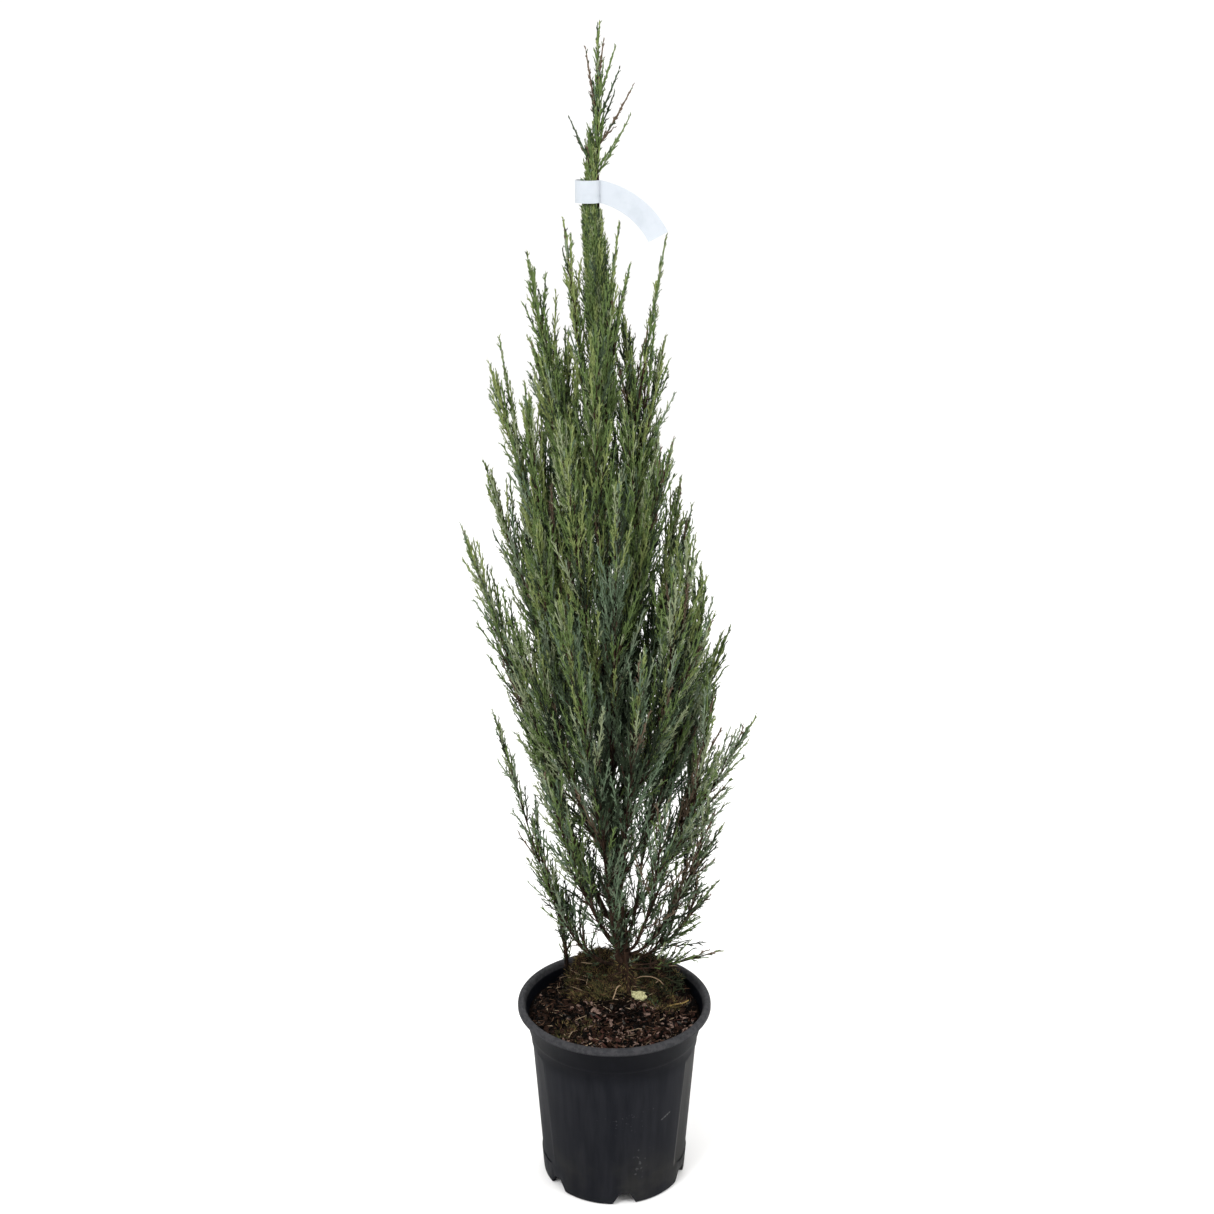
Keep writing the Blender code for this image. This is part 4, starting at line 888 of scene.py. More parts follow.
HANDLE_CLIMB = (0.12, 0.58)
BOW_REACH = (0.37, 0.06)
BOW_CLIMB = (-0.09, -0.10)
LIMB_SWAY = 7.0
LIMB_SAMPLES = 40
WOODY_PART = 0.72
SIDE_WOODY_SAMPLES = 28
LEADER_WOODY_SAMPLES = 22
SIDE_ELBOW = 0.45


def trunk_point(height):
    rise = height - TRUNK_FOOT
    x = TRUNK_PLACE[0] + TRUNK_LEAN * rise + TRUNK_BEND * np.exp(-rise / TRUNK_BEND_FADE)
    y = TRUNK_PLACE[1] + TRUNK_BEND_BACK * np.exp(-rise / TRUNK_BEND_BACK_FADE)
    return np.stack([x, y, height], axis=-1)


def trunk_radius(height):
    rise = height - TRUNK_FOOT
    left = np.maximum(1 - rise / (TRUNK_TOP - TRUNK_FOOT), 0.0)
    butt = TRUNK_BUTT * np.exp(-rise / TRUNK_BUTT_FADE)
    return TRUNK_TIP_RADIUS + TRUNK_TAPER * left + butt + ROOT_FLARE * np.exp(-rise / ROOT_FLARE_FADE)


def root_radius(name):
    _, root, reach, tip, _, _ = LIMBS[name]
    return LEAST_ROOT_RADIUS + LIMB_SLENDERNESS * math.hypot(reach, tip - root)


def limb_path(name):
    """A limb's line by the same rule as its solid's: a cubic curve out and up from the trunk."""
    azimuth, root, reach, tip, bow, _ = LIMBS[name]
    thickness = root_radius(name)
    sway = random.Random(f"{SEED} sway {name}").uniform(-LIMB_SWAY, LIMB_SWAY)
    clear = trunk_radius(root) + LINE_START[0] * thickness
    climb = tip - root
    out = [(handle + bow * shift) * reach for handle, shift in zip(HANDLE_REACH, BOW_REACH)]
    rise = [(handle + bow * shift) * climb for handle, shift in zip(HANDLE_CLIMB, BOW_CLIMB)]
    stations = np.array([
        (clear, root + LINE_START[1] * thickness),
        (out[0] + clear / 2, root + rise[0]),
        (out[1], root + rise[1]),
        (reach, tip),
    ])
    s = np.linspace(0.0, 1.0, LIMB_SAMPLES + 1)
    weights = np.stack([(1 - s) ** 3, 3 * s * (1 - s) ** 2, 3 * s * s * (1 - s), s ** 3], axis=1)
    away, height = (weights @ stations).T
    turn = np.radians(azimuth + sway * np.sin(np.pi * s) ** 2)
    outward = np.stack([np.cos(turn), np.sin(turn), 0 * turn], axis=1)
    start = trunk_point(root) + outward[0] * (trunk_radius(root - thickness) + GAP)
    return np.concatenate([start[None], trunk_point(height) + away[:, None] * outward])


def bent(start, elbow, end):
    """A curve that leaves its start towards the elbow and comes to its end."""
    s = np.linspace(0.0, 1.0, LIMB_SAMPLES + 1)[:, None]
    return (1 - s) ** 2 * start + 2 * s * (1 - s) * elbow + s ** 2 * end


def leader_path():
    share = np.linspace(0.0, 1.0, LIMB_SAMPLES + 1)
    x = (0.004 * share ** 2 + 0.002 * np.sin(6 * share)) * share
    line = np.stack([x, -0.002 * share ** 2, (LEADER_TIP - TRUNK_TOP) * share], axis=1)
    return trunk_point(TRUNK_TOP) + line + np.array([0, 0, GAP]) * (share == 0)[:, None]


def steps_of(line):
    return np.linalg.norm(np.diff(line, axis=0), axis=1)


def run_of(line):
    """How far along the line each of its points lies."""
    return np.concatenate([[0.0], np.cumsum(steps_of(line))])


def line_length(line):
    return float(steps_of(line).sum())


def resampled(line, count):
    run = run_of(line)
    spots = np.linspace(0.0, run[-1], count)
    return np.stack([np.interp(spots, run, line[:, axis]) for axis in range(3)], axis=1)


def bark_relief(angle, along, number):
    """Long strips that run up the limb, with cracks between them."""
    x, y = math.cos(angle), math.sin(angle)
    strips = noise.noise(Vector((x * 2.2, y * 2.2, along * 14.0 + 7.3 * number)))
    return strips + 0.7 * noise.noise(Vector((x * 6.0, y * 6.0, along * 34.0 + 3.1 * number)))


def swept_skin(line, radii, sides, relief, number):
    """Rings of points along a line, closed at both ends, as (points, triangles)."""
    ways = unit(np.gradient(line, axis=0))
    side = unit(np.cross(ways, np.array([0.0, 1.0, 0.13])))
    up = np.cross(side, ways)
    points = []
    for index, (middle, along) in enumerate(zip(line, run_of(line))):
        for corner in range(sides):
            angle = math.tau * corner / sides
            radius = radii[index] * (1 + relief * bark_relief(angle, along, number))
            points.append(middle + radius * (math.cos(angle) * side[index] + math.sin(angle) * up[index]))
    first, last = len(points), len(points) + 1
    end = (len(line) - 1) * sides
    faces = []
    for ring in range(0, end, sides):
        for corner in range(sides):
            low, after = ring + corner, ring + (corner + 1) % sides
            faces += [(low, after, after + sides), (low, after + sides, low + sides)]
    for corner in range(sides):
        after = (corner + 1) % sides
        faces += [(first, after, corner), (last, end + corner, end + after)]
    return np.array(points + [line[0], line[-1]]), np.array(faces)


def skins_joined(name, skins):
    """Several swept skins as one mesh."""
    shifts = np.cumsum([0] + [len(points) for points, _ in skins])
    faces = [triangles + shift for (_, triangles), shift in zip(skins, shifts)]
    return joined_mesh(name, np.concatenate([points for points, _ in skins])[None], np.concatenate(faces))


trunk_heights = TRUNK_FOOT + (TRUNK_TOP - TRUNK_FOOT) * np.linspace(0.0, 1.0, 260) ** 1.5
trunk_skin = swept_skin(trunk_point(trunk_heights), trunk_radius(trunk_heights), 40, 0.26, 0)

# A bough is bare wood. Above it, and on the limbs that have no bare part, the stem goes on
# through its foliage in the same bark, and the twigs grow from it.
stems = {}
bare_paths = {}
side_paths = []
bough_skins = []
stem_skins = []
for number, name in enumerate(LIMBS, 1):
    path = limb_path(name)
    cut_off = round(LIMBS[name][-1] * (LIMB_SAMPLES + 3)) - 1
    radii = np.linspace(root_radius(name) * THINNER.get(name, 1.0), STEM_TIP_RADIUS, len(path))
    if cut_off > 0:
        bare_paths[name] = path[2:cut_off + 1]
        bough_skins.append(swept_skin(path[:cut_off + 1], radii[:cut_off + 1], 12, 0.12, number))
    start = max(cut_off, 0)
    stems[name] = path[start:]
    woody = start + round(len(stems[name]) * WOODY_PART)
    stem_skins.append(swept_skin(path[start:woody], radii[start:woody], 7, 0.10, number))
for number, (carrier, share, tip) in enumerate(SIDE_STEMS + THIN_STEMS, len(LIMBS) + 1):
    bearing = limb_path(carrier)
    spot = round(share * (len(bearing) - 2))
    away = np.linalg.norm(np.array(tip) - bearing[spot])
    elbow = bearing[spot] + SIDE_ELBOW * away * unit(bearing[spot + 1] - bearing[spot - 1])
    side_paths.append(bent(bearing[spot], elbow, np.array(tip)))
    radii = np.linspace(0.0011 + 0.004 * away, STEM_TIP_RADIUS, LIMB_SAMPLES + 1)
    wood = swept_skin(side_paths[-1][:SIDE_WOODY_SAMPLES], radii[:SIDE_WOODY_SAMPLES], 7, 0.10, number)
    stem_skins.append(wood)

# One shoot of the lowest left bough has rooted: it stands in the moss and meets the bough higher up.
LAYERED_FOOT = np.array([-0.0625, 0.068, 0.252])
LAYERED_ELBOW = np.array([-0.0655, 0.060, 0.335])
LAYERED_MEETING = 0.52
bearing = limb_path("left_basal")
layered_path = bent(LAYERED_FOOT, LAYERED_ELBOW, bearing[round(LAYERED_MEETING * (len(bearing) - 1))])
stem_skins.append(swept_skin(layered_path, np.linspace(0.0030, 0.0018, len(layered_path)), 8, 0.20, 98))
stems["leader"] = leader_path()
radii = np.linspace(trunk_radius(TRUNK_TOP), STEM_TIP_RADIUS, len(stems["leader"]))
wood = swept_skin(stems["leader"][:LEADER_WOODY_SAMPLES], radii[:LEADER_WOODY_SAMPLES], 7, 0.10, 99)
stem_skins.append(wood)

bark = Finish("stringy bark", 0.88, 0.08)
strips = bark.grain(240, 5, 0.65, (1, 1, 0.09))
flakes = bark.grain(70, 4, 0.6, (1, 1, 0.35))
bark.look((0.005, 0.0033, 0.0025), (
    (strips.rising(0.36, 0.66), (0.040, 0.022, 0.014)),
    (flakes.rising(0.52, 0.70) * 0.5, (0.072, 0.052, 0.038)),
), strips, 0.0018, 0.9)
bough_nodes = [node for node in frame["nodes"] if node.startswith("bough_")]
mass_nodes = [node for node in frame["nodes"] if node.startswith("mass_")]
painted(skins_joined("trunk_bark", [trunk_skin]), bark, "bark", "trunk")
painted(skins_joined("bough_bark", bough_skins), bark, "bark", *bough_nodes)
painted(skins_joined("stem_bark", stem_skins), bark, "bark", *mass_nodes)

# Moss and litter climb the trunk's foot.
FOOT_MOSS = 900
rng = np.random.default_rng(SEED)
climb = ground_height(*TRUNK_PLACE) - 0.004 + 0.044 * rng.uniform(0, 1, FOOT_MOSS) ** 1.6
turn = rng.uniform(0, math.tau, FOOT_MOSS)
outward = np.column_stack([np.cos(turn), np.sin(turn), np.zeros(FOOT_MOSS)])
root = trunk_point(climb) + outward * (trunk_radius(climb) - 0.001)[:, None]
way = unit(outward + np.array([0.0, 0.0, 0.5]) + rng.normal(0, 0.30, (FOOT_MOSS, 3)))
sag = np.tile([0.0, 0.0, -0.35], (FOOT_MOSS, 1))
foot_tones = rng.integers(0, len(MOSS_TINTS), FOOT_MOSS)
length = rng.uniform(0.003, 0.009, FOOT_MOSS)
foot_moss = Shoots(root, way, sag, length, np.full(FOOT_MOSS, 0.0006), foot_tones)
for number, (name, finish) in enumerate(moss_finishes.items()):
    foot_moss.kept(foot_tones == number).piece("foot_" + name, TUFT_SHAPE, finish, "compost", "compost")


# The tag is a strip of white plastic film, 25 mm wide: looped round the leader, with its two ends
# stuck together as a tail that droops to the right. It is blank.
TAG_WIDTH = 0.025
TAG_THICKNESS = 0.0004
TAG_HEIGHT = 1.2745
TAG_LOOP = np.array([0.0275, 0.019])
TAG_TAIL_LENGTH = 0.086
TAG_TAIL_DROOP = (12.0, 62.0)
TAG_LENGTHWAYS = 96
TAG_ACROSS = 6
TAIL_STEPS = 24
tag_hold = trunk_point(TAG_HEIGHT)
TAG_LOOP_RIGHT = float(tag_hold[0] + trunk_radius(TAG_HEIGHT - TAG_WIDTH / 2)) + GAP
loop_middle = np.array([TAG_LOOP_RIGHT - TAG_LOOP[0] / 2, tag_hold[1], TAG_HEIGHT])


def tag_line(share):
    """The strip's middle line and the way across it, at a share of its whole length."""
    around = math.pi * (TAG_LOOP[0] + TAG_LOOP[1]) / 2
    run = share * (around + TAG_TAIL_LENGTH)
    if run < around:
        turn = math.tau * run / around
        x = loop_middle[0] + TAG_LOOP[0] / 2 * math.cos(turn)
        return Vector((x, tag_hold[1] + TAG_LOOP[1] / 2 * math.sin(turn), TAG_HEIGHT)), Vector((0, 0, 1))
    left = (run - around) / TAG_TAIL_LENGTH
    spot = Vector((TAG_LOOP_RIGHT, tag_hold[1], TAG_HEIGHT))
    first, last = TAG_TAIL_DROOP
    for step in range(TAIL_STEPS):
        part = left * (step + 0.5) / TAIL_STEPS
        angle = math.radians(first + (last - first) * part)
        step_way = Vector((math.cos(angle), -0.18 * part, -math.sin(angle))).normalized()
        spot += step_way * TAG_TAIL_LENGTH * left / TAIL_STEPS
    angle = math.radians(first + (last - first) * left)
    return spot, Vector((math.sin(angle), 0, math.cos(angle)))


tag = added(bpy.ops.mesh.primitive_grid_add, x_subdivisions=TAG_LENGTHWAYS, y_subdivisions=TAG_ACROSS, size=1)
tag.name = "loop_tag"
for vert in tag.data.vertices:
    spot, across = tag_line(vert.co.x + 0.5)
    vert.co = spot + across * vert.co.y * TAG_WIDTH
apply_modifier(tag, "SOLIDIFY", thickness=TAG_THICKNESS, offset=0.0)
tag.data.shade_smooth()
tag.data.set_sharp_from_angle(angle=math.radians(50))
film = Finish("white plastic film", 0.38, 0.5)
# Random blotches of a darker blue-grey are painted shading on the white film.
shading_blotches = film.grain(60, 3, 0.6).rising(0.45, 0.75) * 0.5
film.look((0.418, 0.450, 0.490), [(shading_blotches, (0.335, 0.368, 0.410))], film.grain(45, 2, 0.5), 0.0006, 0.4)
painted(tag, film, "label", "plant_tag")


# The foliage grows on from the stems by the solids' rule, carried finer: twigs at the golden angle
# round each stem, branchlets on them, and cord-like threads of scale leaves on those. Short sprigs
# fill the inside, on the bare boughs and the trunk, and each stem ends in a thin whip.
TWIG_SPACING = 0.0074
TWIG_LENGTH = 0.150
TWIG_VARIATION = (0.60, 1.12)
TIP_SHRINK = 0.60
TIP_LENGTH = 0.004
TIP_TAPER = (0.22, 4.8)
TIP_UPRIGHT = 0.170
LEAST_FULLNESS = 0.25
FULL_STEM = 0.40
FULLNESS = {"leader": 0.22, "left_basal": 0.56, "right_seventh": 0.26, "left_fifth": 0.58}
OUTWARD_TRIM = 0.30
TWIG_LEAN = (7.0, 20.0)
TWIG_CURL = 0.14
LOW_CROWN = 0.560
LOW_FADE = 0.220
LOW_THINNING = 0.20
SPACE_MARGIN = -0.014
SPACE_TRIES = 7
TWIG_STATIONS = 80
TWIG_RADIUS = 0.0006
TWIG_THICKENING = 0.0055
BRANCHLET_SPACING = 0.0052
BRANCHLET_LEAN = (14.0, 28.0)
BRANCHLET_RADIUS = 0.00084
WHIP_SPACING = 0.0040
WHIP_LEAN = (14.0, 30.0)
WHIP_RADIUS = 0.00080
THREAD_SPACING = 0.0028
THREAD_LEAN = (20.0, 38.0)
THREAD_RADIUS = 0.00064
SHOOT_CHECKS = np.linspace(0.15, 1.0, 9)[:, None]
SAMPLE_SPACING = 0.006
TRUNK_CLEARANCE = 0.006
LIP_MARGIN = 0.015
TAG_CLEARANCE = 0.0030
BAND_SPACE = np.array([0.032, 0.040, 0.0150])

growth = np.random.default_rng(SEED)
stem_samples = {
    name: resampled(line, max(round(line_length(line) / SAMPLE_SPACING), 8)) for name, line in stems.items()
}
trunk_samples = trunk_point(np.linspace(TRUNK_FOOT, TRUNK_TOP, 200))
loop_inside = TAG_LOOP / 2 - 0.0022
tag_low, tag_high = (np.array(corner) + grow for corner, grow in zip(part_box("plant_tag"), (-0.004, 0.004)))
tag_spots = np.array([
    middle + across * TAG_WIDTH * side
    for middle, across in map(tag_line, np.linspace(0.0, 1.0, 88))
    for side in (-0.5, -0.3, -0.1, 0.1, 0.3, 0.5)
])


def nearest(spots, samples):
    return np.linalg.norm(spots[:, None] - samples[None], axis=2).min(axis=1)


def in_the_clear(spots):
    """Whether each spot is over the pot and the compost, and off the tag's strip."""
    x, y, z = spots.T
    over_lip = np.hypot(x, y) > LIP_RADIUS - LIP_MARGIN
    clear = z > np.where(over_lip, POT_HEIGHT + 0.001, hump_height(x, y) + 0.002)
    by_tag = np.flatnonzero(((spots > tag_low) & (spots < tag_high)).all(axis=1))
    if len(by_tag):
        clear[by_tag] &= nearest(spots[by_tag], tag_spots) > TAG_CLEARANCE
    by_band = (np.abs(spots - loop_middle) < BAND_SPACE).all(axis=1)
    inside = (((spots - loop_middle)[:, :2] / loop_inside) ** 2).sum(axis=1) < 1
    return clear & (~by_band | inside)


def clamped(value):
    return min(max(value, 0.0), 1.0)


def sideways_at(along, turn):
    """The way square to a stem at a turn round it."""
    side, up = (axis[0] for axis in square_to(along[None]))
    return side * math.cos(turn) + up * math.sin(turn)


def branched(parents, spacing, span, lean, reach_of, curl, thickness):
    """The next order of shoots: at even steps along each parent, each turned on by the golden angle."""
    count = np.maximum((parents.length * (span[1] - span[0]) / spacing).astype(int), 1)
    owner = np.repeat(np.arange(len(count)), count)
    total = len(owner)
    order = np.arange(total) - np.repeat(np.cumsum(count) - count, count)
    share = span[0] + (span[1] - span[0]) * (order + growth.uniform(0.1, 0.9, total)) / count[owner]
    bearing = parents.kept(owner)
    along = bearing.tangent(share)
    side, up = square_to(along)
    turn = growth.uniform(0, math.tau, len(count))[owner] + order * GOLDEN_ANGLE
    low = np.clip((LOW_CROWN - bearing.root[:, 2]) / LOW_FADE, 0, 1)
    lean = np.radians(growth.uniform(*lean, total) * (1 + 0.55 * low))[:, None]
    sideways = side * np.cos(turn)[:, None] + up * np.sin(turn)[:, None]
    way = along * np.cos(lean) + sideways * np.sin(lean)
    length = reach_of(share, bearing.length) * growth.uniform(0.75, 1.2, total)
    radius = thickness * growth.uniform(0.85, 1.15, total)
    made = Shoots(bearing.point(share), way, (along - way) * curl, length, radius, bearing.tone)
    clear = np.all([in_the_clear(made.point(part)) for part in (0.35, 0.7, 1.0)], axis=0)
    return made.kept(clear & (growth.uniform(0, 1, total) > LOW_THINNING * low))


def outward_at(spot):
    """The level way from the trunk's line to a spot."""
    away = spot - trunk_point(spot[2])
    away[2] = 0.0
    return unit(away) if np.linalg.norm(away) > 0.001 else np.array([0.0, -1.0, 0.0])


def twigs_of(line, rng, fullness, own=None, others=None):
    """One stem's twigs. Given the other stems, each keeps to its own stem's space or is left out."""
    line = resampled(line, TWIG_STATIONS)
    length = line_length(line)
    count = max(round(0.90 * length / TWIG_SPACING), 6)
    turn = rng.uniform(0, math.tau)
    for index in range(count):
        share = 0.02 + 0.95 * (index + rng.uniform(0.0, 0.8)) / count
        spot = min(round(share * (TWIG_STATIONS - 1)), TWIG_STATIONS - 3)
        along = unit(line[spot + 2] - line[max(spot - 1, 0)])
        left = (1.0 - share) * length
        low = clamped((LOW_CROWN - line[spot][2]) / LOW_FADE)
        turn += GOLDEN_ANGLE
        lean = math.radians(rng.uniform(*TWIG_LEAN)) * min(0.30 + left / TIP_UPRIGHT, 1.0) * (1 + 0.9 * low)
        reach = rng.uniform(*TWIG_VARIATION) * TWIG_LENGTH * (1.0 - TIP_SHRINK * share) * fullness
        reach = min(reach * (1 - 0.30 * low), TIP_LENGTH + TIP_TAPER[0] * left + TIP_TAPER[1] * left ** 2)
        outward = outward_at(line[spot])
        for attempt in range(SPACE_TRIES):
            sideways = sideways_at(along, turn + attempt * math.tau / SPACE_TRIES)
            way = along * math.cos(lean) + sideways * math.sin(lean)
            trimmed = reach * (1.0 - 0.05 * attempt) * (1.0 - OUTWARD_TRIM * max(sideways @ outward, 0.0))
            spots = line[spot] + trimmed * (way * SHOOT_CHECKS + along * TWIG_CURL * SHOOT_CHECKS ** 2)
            fits = own is None or (nearest(spots, others) > nearest(spots, own) + SPACE_MARGIN).all()
            off_trunk = nearest(spots[2:], trunk_samples).min() > TRUNK_CLEARANCE
            if fits and off_trunk and in_the_clear(spots).all():
                yield line[spot], way, along * TWIG_CURL, trimmed
                break


def sprigs_on(line, spacing, length, lean, lift, rng, start=0.0):
    """Short shoots along bare wood, which lean up more than what bears them."""
    count = round(line_length(line) / spacing)
    places = resampled(line, count + 2)
    turn = rng.uniform(0, math.tau)
    for index in range(1 + round(start * count), count + 1):
        along = unit(places[index + 1] - places[index - 1])
        turn += GOLDEN_ANGLE
        angle = math.radians(rng.uniform(*lean))
        sideways = sideways_at(along, turn)
        way = unit(along * math.cos(angle) + sideways * math.sin(angle) + np.array([0.0, 0.0, lift]))
        rise = np.array([0.0, 0.0, 0.14])
        reach = rng.uniform(*length)
        spots = places[index] + reach * (way * SHOOT_CHECKS + rise * SHOOT_CHECKS ** 2)
        if in_the_clear(spots[3:]).all():
            yield places[index], way, rise, reach


# The whips of the leader: the height each leaves it at, and its tip.
LEADER_WHIPS = (
    (1.398, (-0.0200, 0.006, 1.456)), (1.386, (-0.0130, 0.001, 1.440)), (1.372, (0.0005, -0.004, 1.434)),
    (1.352, (0.0050, 0.004, 1.409)), (1.322, (0.0210, -0.002, 1.393)), (1.292, (0.0175, 0.010, 1.359)),
    (1.336, (0.0000, 0.014, 1.384)), (1.350, (-0.0335, 0.004, 1.432)), (1.300, (0.0040, -0.008, 1.338)),
    (1.289, (-0.0520, 0.002, 1.357)), (1.294, (-0.0450, 0.010, 1.336)), (1.320, (-0.0230, -0.024, 1.372)),
    (1.310, (-0.0120, 0.030, 1.368)), (1.350, (-0.0190, 0.022, 1.410)), (1.362, (-0.0130, -0.018, 1.418)),
)
WHIP_TONES = (0, 5, 1)
WHIP_PART = 0.34
BUNDLE_SHOOTS = 74
BUNDLE_ROOTS = (1.050, 1.235)
BUNDLE_TIPS = (1.225, 1.352)
BUNDLE_SPREAD = 0.56
BUNDLE_CLOSING = 0.120


def whips_of_leader():
    line = stems["leader"]
    rise = np.array([0.0, 0.0, 0.12])
    for number, (height, tip) in enumerate(LEADER_WHIPS):
        root = np.array([np.interp(height, line[:, 2], line[:, axis]) for axis in range(3)])
        away = np.array(tip) - root
        length = np.linalg.norm(away)
        yield root, away / length - rise, rise, length, WHIP_TONES[number % 3]


def whips_of_stems(rng):
    """The last part of each stem, thin and leafy to its tip."""
    for line in [*stems.values(), *side_paths]:
        start = round((len(line) - 1) * (1 - WHIP_PART))
        away = line[-1] - line[start]
        reach = np.linalg.norm(away)
        way = unit(line[start + 1] - line[start])
        yield line[start], way, away / reach - way, reach, tone_of(line[-1], rng, EVEN_LEANING)


def bundle_of_shoots(rng):
    """The upright shoots beside the leader: the longest go up through the tag's loop."""
    made = 0
    while made < BUNDLE_SHOOTS:
        root = trunk_point(rng.uniform(*BUNDLE_ROOTS))
        tip = trunk_point(rng.uniform(*BUNDLE_TIPS))
        closing = clamped((tip[2] - TAG_HEIGHT) / BUNDLE_CLOSING)
        turn = rng.uniform(0, math.tau)
        spread = BUNDLE_SPREAD * math.sqrt(rng.uniform(0, 1)) * (1 - 0.20 * closing)
        tip[0] += (1 - closing) * (loop_middle[0] - tip[0]) + spread * TAG_LOOP[0] / 2 * math.cos(turn)
        tip[1] = loop_middle[1] + spread * TAG_LOOP[1] / 2 * math.sin(turn)
        away = tip - root
        length = np.linalg.norm(away)
        way = unit(away * np.array([1.2, 1.2, 1.0]))
        bend = away / length - way
        spots = root + length * (way * SHOOT_CHECKS + bend * SHOOT_CHECKS ** 2)
        if length > 0.04 and in_the_clear(spots).all():
            made += 1
            yield root, way, bend, length


# Each twig is dealt one of these tones: its height, its side and how far in it is weigh the draw.
# Some branchlets are darker or lighter than their twig: the tones at the two places after the tint.
DARKER_BELOW = 0.20
LIGHTER_ABOVE = 0.88
# The deep and shade tones are painted shade: the draw favours them inside the crown, low in its middle and at
# its foot.
TONES = {
    "deep": ((0.034, 0.052, 0.026), 0, 3),
    "green": ((0.098, 0.146, 0.046), 0, 6),
    "fresh": ((0.180, 0.222, 0.076), 1, 6),
    "blue": ((0.100, 0.146, 0.089), 0, 4),
    "grey": ((0.172, 0.217, 0.144), 3, 6),
    "dull": ((0.108, 0.078, 0.052), 0, 4),
    "pale": ((0.225, 0.262, 0.150), 4, 6),
    "shade": ((0.013, 0.021, 0.010), 7, 0),
}
LEANING_LIMIT = (0.9, 0.9, 0.5, 0.9, 0.22, 0.14, 0.20)
SHADE_LEANING = 0.30
EVEN_LEANING = 0.3


def limb_leaning(rng):
    """How far each limb favours each tone."""
    drawn = 1.2 * rng.dirichlet(np.ones(len(LEANING_LIMIT)) * 1.5)
    return np.append(np.minimum(drawn, LEANING_LIMIT), SHADE_LEANING)


def tone_of(spot, rng, leaning):
    x, _, z = spot
    from_trunk = np.linalg.norm((spot - trunk_point(z))[:2])
    inner = clamped(1 - from_trunk / 0.045) * (z < 1.05)
    upper = clamped((z - 0.60) / 0.35)
    middle = (1 - upper) * clamped(1 - abs(x - 0.010) / 0.09)
    right = clamped(x / 0.06) * clamped((0.64 - z) / 0.15)
    left = clamped(-x / 0.06) * clamped((0.66 - z) / 0.15)
    outer = clamped((from_trunk - 0.045) / 0.05)
    foot = clamped((0.50 - z) / 0.12)
    # deep weighs the deep tone, painted shade inside the crown, low in its middle, on the right and at the
    # foot; the last weight is the shade tone's, painted shade as well.
    deep = 0.16 + 0.60 * inner * (1 - 0.6 * upper) + 0.18 * right + 0.36 * middle + 0.26 * foot
    weights = np.array([
        deep * (1 - 0.6 * outer) * (1 - 0.4 * upper),
        0.38 + 0.80 * upper + 0.15 * right + 0.25 * foot,
        0.02 + 0.42 * clamped((z - 0.62) / 0.25) * (1.8 if abs(x) > 0.02 else 1.3),
        0.16 + 0.80 * middle + 0.30 * left,
        (0.04 + 0.30 * left + 0.12 * right + 0.16 * outer) * (1 - 0.6 * foot) * (1 - 0.6 * middle),
        0.07 + 0.42 * right + 0.20 * inner + 0.14 * middle,
        (0.02 + 0.46 * outer + 0.10 * left) * (1 - 0.8 * foot) * (1 - 0.9 * middle),
        0.03 + 0.55 * middle + 0.10 * right + 0.18 * foot + 0.45 * inner * (1 - upper),
    ]) * (0.4 + leaning)
    return rng.choice(len(weights), p=weights / weights.sum())


# How far apart the sprigs on a limb's bare part stand, how long they are, how they lift, and the
# share of the bare part that they start at.
SPRIGS = {
    "left_basal": (0.0042, (0.030, 0.072), 1.40, 0.55),
    "right_sprig": (0.0028, (0.020, 0.046), 0.50, 0.30),
    "right_fan": (0.0050, (0.024, 0.060), 0.45, 0.15),
    "right_low": (0.0055, (0.026, 0.070), 0.40, 0.10),
}
USUAL_SPRIGS = (0.0080, (0.028, 0.075), 0.30, 0.10)

# Sprigs on the trunk: the heights between which they stand, then spacing, length, lean and lift.
TRUNK_SPRIGS = (
    ((0.282, 0.360, 12), 0.0018, (0.012, 0.034), (30.0, 75.0), 0.1),
    ((0.300, 0.520, 30), 0.0045, (0.030, 0.085), (14.0, 44.0), 0.3),
    ((0.520, 1.080, 50), 0.0042, (0.050, 0.120), (9.0, 22.0), 0.3),
    ((1.080, 1.160, 20), 0.0032, (0.040, 0.090), (5.0, 13.0), 0.3),
)
CORE_HEIGHTS = (1.292, 1.385)


def fullness_of(line):
    return min(1.0, LEAST_FULLNESS + line_length(line) / FULL_STEM)


def toned(rows, rng, leaning):
    for root, way, bend, length in rows:
        yield root, way, bend, length, tone_of(root + way * length * 0.6, rng, leaning)


